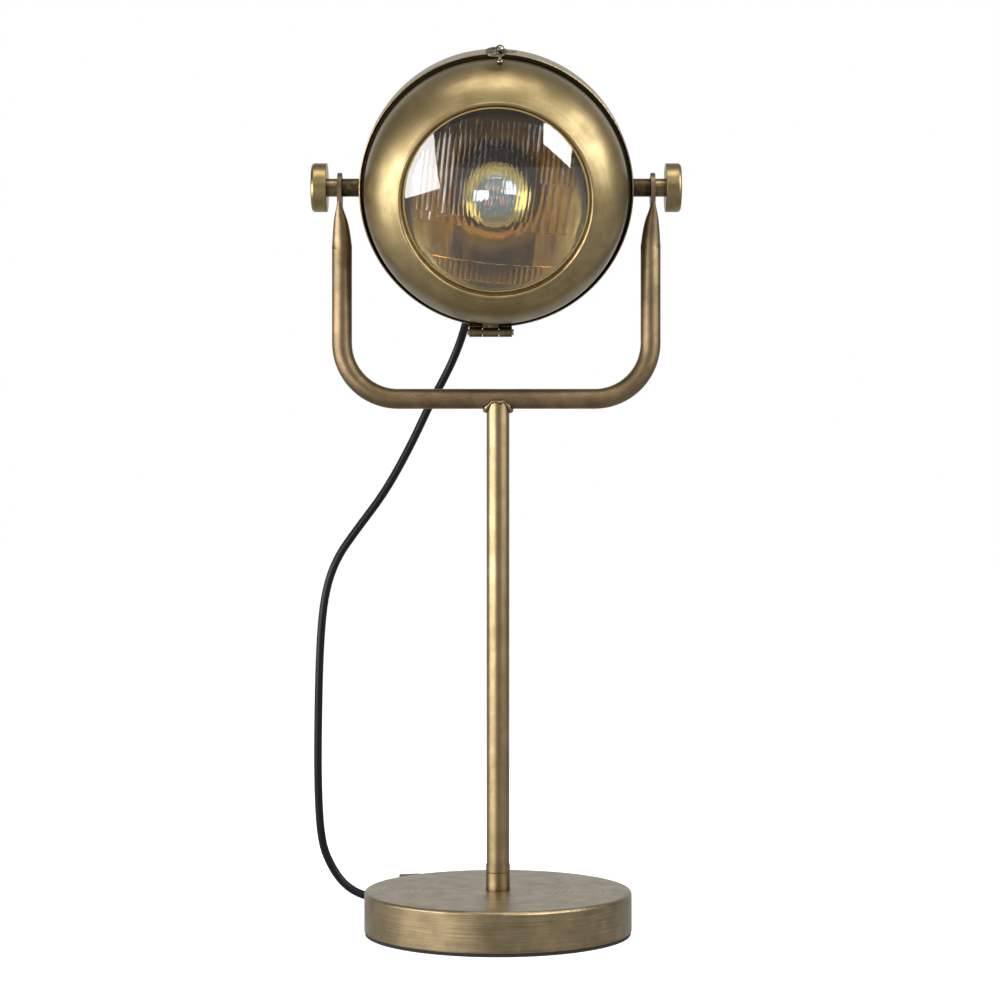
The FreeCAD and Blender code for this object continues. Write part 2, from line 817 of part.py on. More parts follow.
def fluted(body, label, low, high, pitch, depth, left, count):
    """Upright flutes in the lens's hollow back between two heights, counted from a left edge.

    One scalloped outline is swung about the cross axis through the back's middle, so every
    flute keeps its depth as the glass curves away above and below.
    """
    back = SIZES["lens_back_radius"]
    scallop = cap_radius(pitch / 2, depth)
    crest = 0.1
    points = []
    for number in range(count + 1):
        across = left + pitch * number
        out = math.sqrt(back**2 - across**2) + crest
        points.append((across, out, scallop, -1) if number else (across, out))
    far = max(abs(points[0][0]), abs(points[-1][0]))
    inside = math.sqrt(back**2 - far**2) - 2.0
    points += [(points[-1][0], inside), (left, inside)]
    angles = [math.degrees(math.asin(height / back)) for height in (low, high)]
    swing = Rotation(Vector(1, 0, 0), 180.0 - sum(angles) / 2)
    sketch = sketch_on(body, "XY_Plane", label, Placement(Vector(0, SIZES["lens_middle"], 0), swing))
    bind(sketch, "AttachmentOffset.Base.y", d.lens_middle)
    outline(sketch, points)
    before = body.Shape.Volume
    groove = body.newObject("PartDesign::Groove", f"lens_{label}")
    groove.Profile = sketch
    groove.ReferenceAxis = (sketch, ["H_Axis"])
    groove.Angle = angles[1] - angles[0]
    groove.Midplane = True
    doc.recompute()
    if not before - 4000 < body.Shape.Volume < before - 50:
        raise RuntimeError(f"{label} does not cut the lens as it should")


def make_lens():
    """A pressed headlamp glass: a domed shell with a flat rim, and bands of flutes behind.

    The bands step on the right, as on a glass that throws its beam lower on one side.
    """
    glass = [
        (0, d.lens_crown_front + d.lens_thick, d.lens_back_radius, -1),
        (0, d.lens_crown_front),
        (d.lens_dome_reach, d.lens_edge_front, d.lens_front_radius, 1),
        (d.lens_radius, d.lens_edge_front),
        (d.lens_radius, d.lens_back),
        (d.lens_hollow_reach, d.lens_back),
    ]
    body = turned("lens_glass", glass)
    doc.recompute()
    fluted(body, "upper_flutes", -11.2, 54.0, 3.6, 0.42, -54.0, 22)
    fluted(body, "right_flutes", 16.2, 48.0, 3.6, 0.42, 25.6, 8)
    fluted(body, "left_step", -17.6, -11.8, 5.8, 0.5, -50.2, 13)
    fluted(body, "right_step", -17.6, 15.6, 5.8, 0.5, 25.6, 5)
    fluted(body, "middle_flutes", -42.2, -18.2, 14.0, 0.9, -55.0, 8)
    fluted(body, "lower_flutes", -56.0, -42.8, 3.6, 0.4, -36.0, 20)
    keep(body, HEAD * Placement(Vector(), Rotation(Vector(0, 1, 0), SIZES["lens_roll"])))

    front = d.lens_edge_front - 0.55
    gasket = [
        (d.sight_radius + 0.1, front),
        (d.sight_radius + 2.0, front),
        (d.sight_radius + 2.0, front + 0.3),
        (d.sight_radius + 0.1, front + 0.1),
    ]
    keep(turned("lens_gasket", gasket), HEAD)


def make_reflector():
    wall = d.mirror_sheet
    front = d.lens_back + 0.05
    flange = d.lens_radius + 1.6
    points = [
        (d.mirror_mouth, front),
        (flange, front),
        (flange, front + wall),
        (d.mirror_mouth + wall, front + wall),
        (d.mirror_hole + wall, d.mirror_back - wall, d.mirror_sweep + wall, 1),
        (d.mirror_hole + 1.6 * wall, d.mirror_back),
        (d.mirror_hole, d.mirror_back),
    ]
    points[0] = points[0] + (d.mirror_sweep, -1)
    keep(turned("reflector", points), HEAD)

    # Four spring straps from the dome's inside to the back of the reflector's flange
    seat = front + wall + 0.05
    thick = 0.6
    tip_back = -43.0
    tip = dome_reach(d.dome_radius - d.bezel_sheet, tip_back) - 0.4
    strap = [
        (d.mirror_mouth + 1.6, seat),
        (flange + 0.4, seat),
        (tip, tip_back - thick),
        (tip, tip_back),
        (flange + 0.2, seat + thick),
        (d.mirror_mouth + 1.6, seat + thick),
    ]
    body = turned("lens_clips", strap, angle=9.0)
    array = body.newObject("PartDesign::PolarPattern", "lens_clips_round")
    array.Originals = [body.Tip]
    array.Axis = (next(f for f in body.Origin.OriginFeatures if f.Role == "Y_Axis"), [""])
    array.Angle = 360
    array.Occurrences = 4
    body.Tip = array
    keep(body, HEAD * Placement(Vector(), Rotation(Vector(0, 1, 0), 45.0)))


# Hinge below the head
def knuckle(name, left, right):
    """One rolled knuckle, still without the pin's bore."""
    start = Vector(left, SIZES["hinge_forward"], -SIZES["hinge_drop"])
    return solid_cylinder(name, d.knuckle_radius, right - left, start, Vector(1, 0, 0))


def hinge_leaf(name, profile, knuckles, web_low, web_high, bore):
    """A leaf that lies on the round sheet, cut to the hinge's width, with its knuckles."""
    side = SIZES["hinge_side"]
    half = SIZES["hinge_half_width"]
    round_plate = turned(f"{name}_round", profile, role="XY_Plane")
    low = (knuckles[0][0], -60, -120)
    high = (knuckles[-1][1], 0, -60)
    plate = doc.addObject("Part::Common", f"{name}_plate")
    plate.Base = round_plate
    plate.Tool = box(f"{name}_width", low, high)
    pieces = [plate]
    for number, (left, right) in enumerate(knuckles):
        pieces.append(knuckle(f"{name}_knuckle{number}", left, right))
        web = box(f"{name}_web{number}", (left, *web_low), (right, *web_high))
        pieces.append(web)
    start = Vector(side - half - 1, SIZES["hinge_forward"], -SIZES["hinge_drop"])
    hole = solid_cylinder(f"{name}_bore", bore, 2 * half + 2, start, Vector(1, 0, 0))
    return keep(cut(name, fused(f"{name}_fused", *pieces), hole), HEAD)


def make_hinge():
    side = SIZES["hinge_side"]
    half = SIZES["hinge_half_width"]
    pin_bore = d.hinge_pin_radius + 0.05
    centre_half = 5.6
    gap = 0.3
    inner = d.rim_radius + 0.1
    plate = [
        (inner, -20.6),
        (inner + 1.2, -20.6),
        (inner + 1.2, -8.0),
        (inner, -8.0),
    ]
    outer_knuckles = [(side - half, side - centre_half - gap), (side + centre_half + gap, side + half)]
    drop = SIZES["hinge_drop"]
    hinge_leaf("hinge_leaf_housing", plate, outer_knuckles, (-23.4, -drop + 0.4), (-20.2, -93.6), pin_bore)

    tail = -34.0
    sheet = 1.2
    near = d.dome_radius + 0.1
    far = d.dome_radius + 0.1 + sheet
    shift = 0.1
    leaf = [
        (d.bezel_radius + shift, d.dome_start),
        (Size(dome_reach(near, tail)), tail, near, -1),
        (Size(dome_reach(far, tail)), tail),
        (d.bezel_radius + shift + sheet, d.dome_start, far, 1),
    ]
    centre_knuckle = [(side - centre_half, side + centre_half)]
    hinge_leaf("hinge_leaf_bezel", leaf, centre_knuckle, (-25.2, -drop + 2.4), (-24.0, -91.7), pin_bore + 0.02)

    head_radius = 2.3
    pin = [
        (0, -half - 1.2),
        (head_radius, -half - 1.2),
        (head_radius, -half - 0.2),
        (d.hinge_pin_radius, -half - 0.2),
        (d.hinge_pin_radius, half + 0.2),
        (head_radius, half + 0.2),
        (head_radius, half + 1.2),
        (0, half + 1.2),
    ]
    body = turned("hinge_pin", pin)
    middle = Vector(side, SIZES["hinge_forward"], -drop)
    keep(body, HEAD * Placement(middle, Rotation(Vector(0, 0, 1), 90)))


# Latch on top of the bezel
def make_latch():
    shank = 1.2
    post = [
        (0, -2.4),
        (2.0, -2.4),
        (2.0, -1.3),
        (1.15, -1.3),
        (1.15, 0.6),
        (1.9, 0.6),
        (2.2, 1.6),
        (1.7, 2.7, 1.4, 1),
        (shank, 3.0),
        (shank, 10.6),
        (2.9, 10.6),
        (2.9, 11.4),
        (0, 13.2, cap_radius(2.9, 1.8), 1),
    ]
    lie = HEAD * Placement(POST_POINT, Rotation(Vector(0, 1, 0), POST_WAY))
    keep(turned("latch_post", post), lie)

    # A flat open ring with a hub round the post, and a finger rod out to the right
    body = new_body("latch_clip")
    sketch = sketch_on(body, "XZ_Plane", "ring")
    outer = 7.4
    inner = 5.2
    middle = -2.6
    mouth = math.radians(24)
    ring_ends = [(math.cos(mouth), math.sin(mouth)), (math.cos(mouth), -math.sin(mouth))]
    ring = [
        (middle + outer * ring_ends[0][0], outer * ring_ends[0][1]),
        (middle - outer, 0, outer, 1),
        (middle + outer * ring_ends[1][0], outer * ring_ends[1][1], outer, 1),
        (middle + inner * ring_ends[1][0], inner * ring_ends[1][1]),
        (middle - inner, 0, inner, -1),
        (middle + inner * ring_ends[0][0], inner * ring_ends[0][1], inner, -1),
    ]
    # Each half of the ring is over a half turn's chord, so it is split at its top and bottom
    ring.insert(1, (middle, outer, outer, 1))
    ring.insert(3, (middle, -outer, outer, 1))
    ring.insert(6, (middle, -inner, inner, -1))
    ring.insert(8, (middle, inner, inner, -1))
    outline(sketch, ring)
    pad = body.newObject("PartDesign::Pad", "latch_ring")
    pad.Profile = sketch
    pad.Length = 1.3
    pad.Midplane = True
    arm_sketch = sketch_on(body, "XZ_Plane", "arm")
    arm = [
        (middle - inner - 0.6, -1.1),
        (11.4, -0.6),
        (11.4, 0.6),
        (middle - inner - 0.6, 1.1),
    ]
    outline(arm_sketch, arm)
    arm_pad = body.newObject("PartDesign::Pad", "latch_arm")
    arm_pad.Profile = arm_sketch
    arm_pad.Length = 1.2
    arm_pad.Midplane = True
    hub_sketch = sketch_on(body, "XZ_Plane", "hub")
    circle(hub_sketch, 0, 0, 2.8)
    hub = body.newObject("PartDesign::Pad", "latch_hub")
    hub.Profile = hub_sketch
    hub.Length = 2.0
    hub.Midplane = True
    drilled(body, "XZ_Plane", "post", 0, 0, shank + 0.06, 6.0)
    keep(body, lie * Placement(Vector(0, 8.3, 0), Rotation()))


# Cord
CORD = SIZES["cord_diameter"]


def rounded_path(points):
    """Straight runs joined by tangent arcs, each as large as its two runs allow; also its radii."""
    corners = [Vector(*point) for point in points]
    edges = []
    radii = []
    start = corners[0]
    for before, corner, after in zip(corners, corners[1:], corners[2:]):
        arriving = (corner - before).normalize()
        leaving = (after - corner).normalize()
        reach = 0.45 * min((corner - before).Length, (after - corner).Length)
        half_turn = arriving.getAngle(leaving) / 2
        radii.append(reach / math.tan(half_turn))
        first = corner - arriving * reach
        last = corner + leaving * reach
        inward = (leaving - arriving).normalize()
        sag = radii[-1] * (1 / math.cos(half_turn) - 1)
        edges.append(Part.LineSegment(start, first).toShape())
        edges.append(Part.Arc(first, corner + inward * sag, last).toShape())
        start = last
    edges.append(Part.LineSegment(start, corners[-1]).toShape())
    return Part.Wire(edges), radii


def swept(name, path):
    """A round tube of the cord's size along a path; its volume is compared with section by length."""
    start = path.OrderedVertexes[0].Point
    first = path.OrderedEdges[0]
    way = first.tangentAt(first.FirstParameter)
    section = Part.Wire(Part.makeCircle(CORD / 2, start, way))
    solid = path.makePipeShell([section], True, False)
    cord = doc.addObject("Part::Feature", name)
    cord.Label = name
    cord.Shape = solid
    expected = math.pi * (CORD / 2) ** 2 * path.Length
    print(f"{name}: length {path.Length:.1f}, volume {solid.Volume:.0f} of {expected:.0f}")
    if abs(solid.Volume - expected) > 0.01 * expected:
        raise RuntimeError(f"{name} has the wrong volume")
    return cord


def tube(name, points):
    path, radii = rounded_path(points)
    print(f"{name}: least radius {min(radii):.1f}, all", [round(radius) for radius in radii])
    return keep(swept(name, path))


GRIP_TIP = HEAD.multVec(GRIP_POINT + GRIP_WAY * GRIP_LENGTH)
TIP_WAY = HEAD_TURN.multVec(GRIP_WAY)
SWITCH_MIDDLE = Vector(-48.0, 108.0, 0)
SWITCH_HALF = 35.0
ENTRY_HEIGHT = 7.2
COIL_MIDDLE = Vector(30.0, 147.0, 0)
COIL_OUTER = 42.0
COIL_PITCH = 6.6
COIL_TURNS = 2.75
COIL_LAYER = 6.6
COIL_LIFT = 3.7
PLUG_END = Vector(-36.0, 172.0, 6.6)
PLUG_TURN = 15.0
PLUG_WAY = Rotation(Vector(0, 0, 1), PLUG_TURN).multVec(Vector(-1, 0, 0))


def cord_drop_route():
    """From the grip's tip, down behind the yoke and the stem's left, to the switch on the table."""
    first = GRIP_TIP + TIP_WAY * 13
    return [
        tuple(GRIP_TIP),
        tuple(first),
        (-31.0, 80.5, 407.0),
        (-38.5, 84.5, 392.0),
        (-48.5, 86.0, 374.0),
        (-63.0, 88.5, 343.0),
        (-82.0, 89.0, 308.5),
        (-103.0, 90.5, 281.0),
        (-118.5, 91.0, 259.0),
        (-127.0, 92.5, 233.0),
        (-130.5, 94.0, 195.0),
        (-132.0, 97.0, 140.0),
        (-132.5, 101.5, 90.0),
        (-130.5, 106.0, 49.0),
        (-123.0, 109.0, 29.5),
        (-112.5, 109.4, 15.0),
        (-97.0, 108.0, 7.2),
        (-83.0, 108.0, 7.2),
    ]


def coil_point(turns):
    """The coil's centre line: in along the table, up a layer at the turn-round, and out on top."""
    angle = -math.pi / 2 + 2 * math.pi * turns
    depth = COIL_TURNS - abs(turns - COIL_TURNS)
    radius = COIL_OUTER - COIL_PITCH * depth
    climb = min(max((turns - COIL_TURNS) / 0.5 + 0.5, 0), 1)
    height = COIL_LIFT + COIL_LAYER * climb * climb * (3 - 2 * climb)
    blend = 0.25
    if depth > COIL_TURNS - blend:
        over = depth - (COIL_TURNS - blend)
        radius = COIL_OUTER - COIL_PITCH * (COIL_TURNS - blend + over - over * over / (2 * blend))
    return COIL_MIDDLE + Vector(radius * math.cos(angle), radius * math.sin(angle), height)


def coil_way(turns):
    step = 1e-4
    return (coil_point(turns + step) - coil_point(turns - step)).normalize()


def biarc(start, start_way, end, end_way):
    """Two arcs that leave and arrive in the given directions and run smoothly into each other."""
    gap = end - start
    both = start_way + end_way
    square = 2 * (1 - start_way.dot(end_way))
    along = gap.dot(both)
    reach = (-along + math.sqrt(along**2 + square * gap.dot(gap))) / square
    joint = (start + start_way * reach + end - end_way * reach) * 0.5
    arcs = []
    for first, way, last in ((start, start_way, joint), (end, end_way * -1, joint)):
        chord = last - first
        normal = (chord - way * chord.dot(way)).normalize()
        radius = chord.dot(chord) / (2 * chord.dot(normal))
        half = math.asin(min(chord.Length / (2 * radius), 1))
        middle = first + way * (radius * math.sin(half)) + normal * (radius * (1 - math.cos(half)))
        arcs.append((first, middle, last))
    second = arcs[1]
    return [Part.Arc(*arcs[0]).toShape(), Part.Arc(second[2], second[1], second[0]).toShape()]


def make_coil():
    """One unbroken tube with all its loops, straight at both ends for one cord's thickness."""
    steps = round(2 * COIL_TURNS * 4)
    marks = [2 * COIL_TURNS * number / steps for number in range(steps + 1)]
    first, last = coil_point(marks[0]), coil_point(marks[-1])
    edges = [Part.LineSegment(first - coil_way(0) * CORD, first).toShape()]
    for near, far in zip(marks, marks[1:]):
        edges += biarc(coil_point(near), coil_way(near), coil_point(far), coil_way(far))
    edges.append(Part.LineSegment(last, last + coil_way(marks[-1]) * CORD).toShape())
    path = Part.Wire(edges)
    keep(swept("cord_coil", path))
    radii = [edge.Curve.Radius for edge in path.Edges if hasattr(edge.Curve, "Radius")]
    dots = path.discretize(Distance=2.0)
    apart = round(3 * CORD / 2.0)
    gaps = (a.distanceToPoint(b) for n, a in enumerate(dots) for b in dots[n + apart :])
    print(f"cord_coil: least gap to itself {min(gaps) - CORD:.2f}, least radius {min(radii):.1f}")
    return edges[0].Vertexes[0].Point, edges[-1].Vertexes[1].Point, coil_way(marks[-1])


def make_cord():
    tube("cord_drop", cord_drop_route())
    coil_start, coil_end, end_way = make_coil()
    switch_end = SWITCH_MIDDLE + Vector(SWITCH_HALF, 0, ENTRY_HEIGHT)
    lead = [
        tuple(switch_end),
        tuple(switch_end + Vector(12.0, 0, 0)),
        tuple(coil_start - coil_way(0) * 12.0),
        tuple(coil_start),
    ]
    tube("cord_lead", lead)
    tail = [
        tuple(coil_end),
        tuple(coil_end + end_way * 16.0),
        (-3.0, 185.5, 8.2),
        tuple(PLUG_END - PLUG_WAY * 17.0),
        tuple(PLUG_END),
    ]
    tube("cord_tail", tail)

    # A flat tie round the coil's back left
    lay = 0.5
    width = 8.0
    room = 0.4
    inner_low = COIL_LIFT - CORD / 2 - room
    inner_high = COIL_LIFT + COIL_LAYER + CORD / 2 + room
    near = COIL_OUTER - COIL_PITCH * COIL_TURNS - CORD / 2 - room - 1.0
    far = COIL_OUTER + CORD / 2 + room
    outside = box("tie_outside", (near - lay, -width / 2, inner_low - 0.25), (far + lay, width / 2, inner_high + lay))
    inside = box("tie_inside", (near, -width, inner_low), (far, width, inner_high))
    keep(cut("cord_tie", outside, inside), Placement(COIL_MIDDLE, Rotation(Vector(0, 0, 1), 150)))


# Inline switch
ROCKER_REST = -8.0
ROCKER_HEIGHT = 14.0


def boat(sketch, half, wide, nose, inset=0.0):
    """The switch's outline: parallel middle, sides drawn in to a blunt nose at each end."""
    half = half - inset
    wide = wide - inset
    nose = nose - inset
    shoulder = half - 16.0
    outline(
        sketch,
        [
            (-half, -nose),
            (-shoulder, -wide),
            (shoulder, -wide),
            (half, -nose),
            (half, nose),
            (shoulder, wide),
            (-shoulder, wide),
            (-half, nose),
        ],
    )


def make_switch():
    half = SWITCH_HALF
    wide = 13.5
    nose = 7.0
    split = 7.2
    top = 15.5
    where = Placement(SWITCH_MIDDLE, Rotation())
    lower = new_body("switch_base")
    sketch = sketch_on(lower, "XY_Plane", "outline")
    boat(sketch, half, wide, nose)
    pad = lower.newObject("PartDesign::Pad", "switch_base_pad")
    pad.Profile = sketch
    pad.Length = split
    edge = lower.newObject("PartDesign::Chamfer", "switch_base_edge")
    edge.Base = (pad, ["Face9"])
    edge.Size = 1.2
    keep(lower, where)

    upper = new_body("switch_cover")
    sketch = sketch_on(upper, "XY_Plane", "outline", split + 0.05)
    boat(sketch, half, wide, nose)
    pad = upper.newObject("PartDesign::Pad", "switch_cover_pad")
    pad.Profile = sketch
    pad.Length = top - split
    pad.TaperAngle = -12
    well = sketch_on(upper, "XY_Plane", "well", top + 1.0)
    outline(well, [(-9.0, -5.2), (9.0, -5.2), (9.0, 5.2), (-9.0, 5.2)])
    pocket = upper.newObject("PartDesign::Pocket", "switch_cover_well")
    pocket.Profile = well
    pocket.Length = 8.0
    keep(upper, where)

    rocker = new_body("switch_rocker")
    sketch = sketch_on(rocker, "XZ_Plane", "side")
    shape = [
        (-8.3, 1.6),
        (-6.0, -3.2),
        (6.0, -3.2),
        (8.3, 1.6),
        (0, 2.0, 24.0, -1),
    ]
    shape[0] = shape[0] + (24.0, -1)
    outline(sketch, shape)
    pad = rocker.newObject("PartDesign::Pad", "switch_rocker_pad")
    pad.Profile = sketch
    pad.Length = 9.6
    pad.Midplane = True
    turn = Rotation(Vector(0, 1, 0), ROCKER_REST)
    keep(rocker, Placement(SWITCH_MIDDLE + Vector(0, 0, ROCKER_HEIGHT), turn))


# Plug: a flat two-pin mains plug
def make_plug():
    long = 36.0
    thick = 13.2
    body = new_body("plug_body")
    sketch = sketch_on(body, "XY_Plane", "outline")
    rear = 5.4
    front = 17.6
    outline(
        sketch,
        [
            (0, -rear),
            (0, rear),
            (-13.0, 12.6, 30.0, 1),
            (-22.0, front),
            (-long, front),
            (-long, -front),
            (-22.0, -front),
            (-13.0, -12.6),
        ],
    )
    pad = body.newObject("PartDesign::Pad", "plug_pad")
    pad.Profile = sketch
    pad.Length = thick
    where = Placement(Vector(PLUG_END.x, PLUG_END.y, 0), Rotation(Vector(0, 0, 1), PLUG_TURN))
    keep(body, where)

    pins = []
    for number, side in enumerate((-1, 1)):
        start = Vector(-long - 0.05, side * 9.3, PLUG_END.z)
        pins.append(solid_cylinder(f"plug_pin_{number}", 2.0, 19.0, start, Vector(-1, 0, 0)))
    keep(group("plug_pins", pins), where)


make_base()
make_stem()
make_yoke()
make_housing()
make_cord_grip()
make_pivots()
make_lampholder()
make_bulb()
make_bezel()
make_lens()
make_reflector()
make_hinge()
make_latch()
make_cord()
make_switch()
make_plug()
doc.recompute()

broken = [thing.Name for thing in doc.Objects if "Invalid" in thing.State or "Error" in thing.State]
if broken:
    raise RuntimeError(f"these objects failed: {broken}")
for thing in subparts:
    if thing.Shape.isNull() or not thing.Shape.isValid() or not thing.Shape.Solids:
        raise RuntimeError(f"{thing.Label} has no valid solid")
for thing in subparts:
    thing.Shape.exportStep(f"parts/{thing.Label}.step")
print(len(subparts), "sub-parts written")
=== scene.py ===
"""Looks for the tabletop searchlight lamp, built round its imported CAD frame, in metres."""
import math

import bmesh
import bpy
from mathutils import Matrix, Vector, noise


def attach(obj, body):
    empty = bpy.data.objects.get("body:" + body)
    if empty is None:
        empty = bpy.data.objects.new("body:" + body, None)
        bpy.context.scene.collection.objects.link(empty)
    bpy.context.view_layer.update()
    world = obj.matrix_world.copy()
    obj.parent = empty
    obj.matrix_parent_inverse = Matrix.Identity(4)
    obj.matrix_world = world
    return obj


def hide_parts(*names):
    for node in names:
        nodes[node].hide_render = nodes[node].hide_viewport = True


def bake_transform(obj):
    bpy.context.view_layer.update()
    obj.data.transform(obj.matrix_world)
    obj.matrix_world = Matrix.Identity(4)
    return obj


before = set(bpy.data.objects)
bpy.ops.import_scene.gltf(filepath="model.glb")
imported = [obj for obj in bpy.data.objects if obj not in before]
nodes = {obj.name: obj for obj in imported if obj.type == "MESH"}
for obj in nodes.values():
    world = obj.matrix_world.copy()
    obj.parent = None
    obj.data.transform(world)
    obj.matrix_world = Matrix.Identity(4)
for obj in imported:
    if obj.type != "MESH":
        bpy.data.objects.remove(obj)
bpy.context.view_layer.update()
bpy.context.scene.view_settings.view_transform = "Standard"
MM = 0.001

# The tilted head: its pivot on the tilt axis, and how far its nose is raised from level
PIVOT = Vector((0, 0, 0.5213))
TILT = math.radians(16.3)
HEAD = Matrix.Translation(PIVOT) @ Matrix.Rotation(TILT, 4, "X")

# The stem stands this far to the right of the head's middle
STEM_OFFSET = 0.0012


def add_object(name, data):
    """A new object in the scene, unturned at the origin."""
    made = bpy.data.objects.new(name, data)
    bpy.context.scene.collection.objects.link(made)
    return made


# Camera: level and square to the lamp, at the photograph's distance and height
CAMERA_PLACE = (0.0026, -1.7, 0.3027)
CAMERA_LENS_MM = 87.43
CAMERA_SENSOR_MM = 36.0


def add_camera():
    data = bpy.data.cameras.new("camera")
    data.sensor_width = CAMERA_SENSOR_MM
    data.lens = CAMERA_LENS_MM
    camera = add_object("camera", data)
    camera.location = CAMERA_PLACE
    camera.rotation_euler = (math.radians(90), 0, 0)
    bpy.context.scene.camera = camera


# Materials
def linear(hexa):
    """A scene-linear colour from an sRGB hex value."""
    channels = [int(hexa[start : start + 2], 16) / 255 for start in (0, 2, 4)]
    return [c / 12.92 if c <= 0.04045 else ((c + 0.055) / 1.055) ** 2.4 for c in channels] + [1.0]


WHITE = linear("FFFFFF")
BLACK = linear("000000")


def node(tree, kind, inputs=None, stops=(), **settings):
    """Adds a node with its settings and links.

    An input is a plain value, a socket, or a node that feeds it from its first output. Stops are
    the places and colours of a ramp.
    """
    made = tree.nodes.new(kind)
    for name, value in settings.items():
        setattr(made, name, value)
    for key, value in (inputs or {}).items():
        if isinstance(value, bpy.types.Node):
            value = value.outputs[0]
        if isinstance(value, bpy.types.NodeSocket):
            tree.links.new(value, made.inputs[key])
        else:
            made.inputs[key].default_value = value
    if stops:
        elements = made.color_ramp.elements
        while len(elements) < len(stops):
            elements.new(0.5)
        for element, (place, colour) in zip(elements, stops):
            element.position = place
            element.color = colour
    return made


def empty_tree(owner):
    """The node tree of a material or a world, with nothing in it yet."""
    owner.use_nodes = True
    owner.node_tree.nodes.clear()
    return owner.node_tree


def folded(tree, operation, first, *others):
    """Values taken together by one operation. MINIMUM is 1 where all are, MAXIMUM where any is."""
    for other in others:
        first = node(tree, "ShaderNodeMath", {0: first, 1: other}, operation=operation)
    return first


def mirrored(tree, path):
    """1 for a ray that a surface threw back, and 0 for one that came through glass."""
    return node(
        tree,
        "ShaderNodeMath",
        {0: path.outputs["Is Glossy Ray"], 1: path.outputs["Is Transmission Ray"]},
        operation="SUBTRACT",
        use_clamp=True,
    )


# Frames that a lathe or a polishing belt turned in: the Z axis is the axis of the turning
LATHES = {
    "head": (PIVOT, (TILT - math.pi / 2, 0, 0)),
    "stand": (Vector((STEM_OFFSET, 0, 0)), (0, 0, 0)),
    "cross": (PIVOT, (0, math.pi / 2, 0)),
}

# Shared by all the brass: how far its shades spread about the middle one, the height of the belt's
# lines and the reach of the painted shade in a corner (both in metres), and how dull its lacquer is
SHADE_SPREAD = 0.28
LINE_HEIGHT = 0.00006
SHADE_REACH = 0.007
LACQUER_ROUGHNESS = 0.3


def shade_openness(tree):
    """How open the surface is, from 0 in a corner to 1, for the painted shade that darkens the
    corners.
    """
    around = node(tree, "ShaderNodeAmbientOcclusion", {"Distance": SHADE_REACH}, samples=6)
    return node(
        tree,
        "ShaderNodeMapRange",
        {"Value": around.outputs["AO"], "From Min": 0.35, "From Max": 0.8},
    )


def belt_lines(tree, local, line_mm, sweep):
    """The belt's lines round the lathe's axis, as noise that is narrow across them.

    A real scratch is about 0.1 mm wide; line_mm draws it as coarse as it needs to show. Sweep is
    how much a line changes on its way round.
    """
    split = node(tree, "ShaderNodeSeparateXYZ", {0: local})
    flat = node(tree, "ShaderNodeCombineXYZ", {0: split.outputs[0], 1: split.outputs[1]})
    radius = node(tree, "ShaderNodeVectorMath", {0: flat}, operation="LENGTH").outputs["Value"]
    way = node(tree, "ShaderNodeVectorMath", {0: flat}, operation="NORMALIZE")
    # One measure that grows out along a flat face and on down a wall
    across = node(
        tree, "ShaderNodeMath", {0: radius, 1: split.outputs[2]}, operation="SUBTRACT"
    )
    lines = node(tree, "ShaderNodeMath", {0: across, 1: 1000.0 / line_mm}, operation="MULTIPLY")
    around = node(tree, "ShaderNodeVectorMath", {0: way, "Scale": sweep}, operation="SCALE")
    turned = node(tree, "ShaderNodeSeparateXYZ", {0: around})
    place = node(
        tree, "ShaderNodeCombineXYZ", {0: turned.outputs[0], 1: turned.outputs[1], 2: lines}
    )
    return node(
        tree,
        "ShaderNodeTexNoise",
        {"Vector": place, "Scale": 1.0, "Detail": 4.0, "Roughness": 0.65},
    )


def brass(
    name, lathe, colours, rough, line_mm=0.45, sweep=2.2, patch_mm=16.0, grain=0.35, coat=0.3
):
    """Aged brass plate under clear lacquer, with its fine polishing lines round the lathe's axis.

    The plate gives a soft warm shine; darker aged patches and the belt's lines break it up. Grain
    is the share of the lines in that, and patch_mm the size of the patches.
    """
    material = bpy.data.materials.new(name)
    tree = empty_tree(material)
    where, turn = LATHES[lathe]
    here = node(tree, "ShaderNodeTexCoord").outputs["Object"]
    local = node(
        tree,
        "ShaderNodeMapping",
        {"Vector": here, "Location": where, "Rotation": turn},
        vector_type="TEXTURE",
    )
    lines = belt_lines(tree, local, line_mm, sweep)
    patches = node(
        tree, "ShaderNodeTexNoise", {"Vector": local, "Scale": 1000.0 / patch_mm, "Detail": 4.0}
    )
    wear = node(tree, "ShaderNodeMix", {0: grain, 2: patches, 3: lines}, data_type="FLOAT")
    corner, dark, middle, light = map(linear, colours)
    shades = [(0.5 - SHADE_SPREAD / 2, dark), (0.5, middle), (0.5 + SHADE_SPREAD / 2, light)]
    plate = node(tree, "ShaderNodeValToRGB", {"Fac": wear}, stops=shades)
    # Painted shade: the darkest colour takes over in the corners, where shade falls
    colour = node(tree, "ShaderNodeMix", {0: shade_openness(tree), 6: corner, 7: plate}, data_type="RGBA")
    polished, dull = rough
    roughness = node(
        tree,
        "ShaderNodeMapRange",
        {"Value": wear, "From Min": 0.3, "From Max": 0.7, "To Min": dull, "To Max": polished},
    )
    bumps = {"Height": lines, "Strength": 0.15, "Distance": LINE_HEIGHT}
    shader = node(
        tree,
        "ShaderNodeBsdfPrincipled",
        {
            "Base Color": colour.outputs[2],
            "Metallic": 1.0,
            "Roughness": roughness,
            "Normal": node(tree, "ShaderNodeBump", bumps),
            "Coat Weight": coat,
            "Coat Roughness": LACQUER_ROUGHNESS,
        },
    )
    node(tree, "ShaderNodeOutputMaterial", {"Surface": shader})
    return material


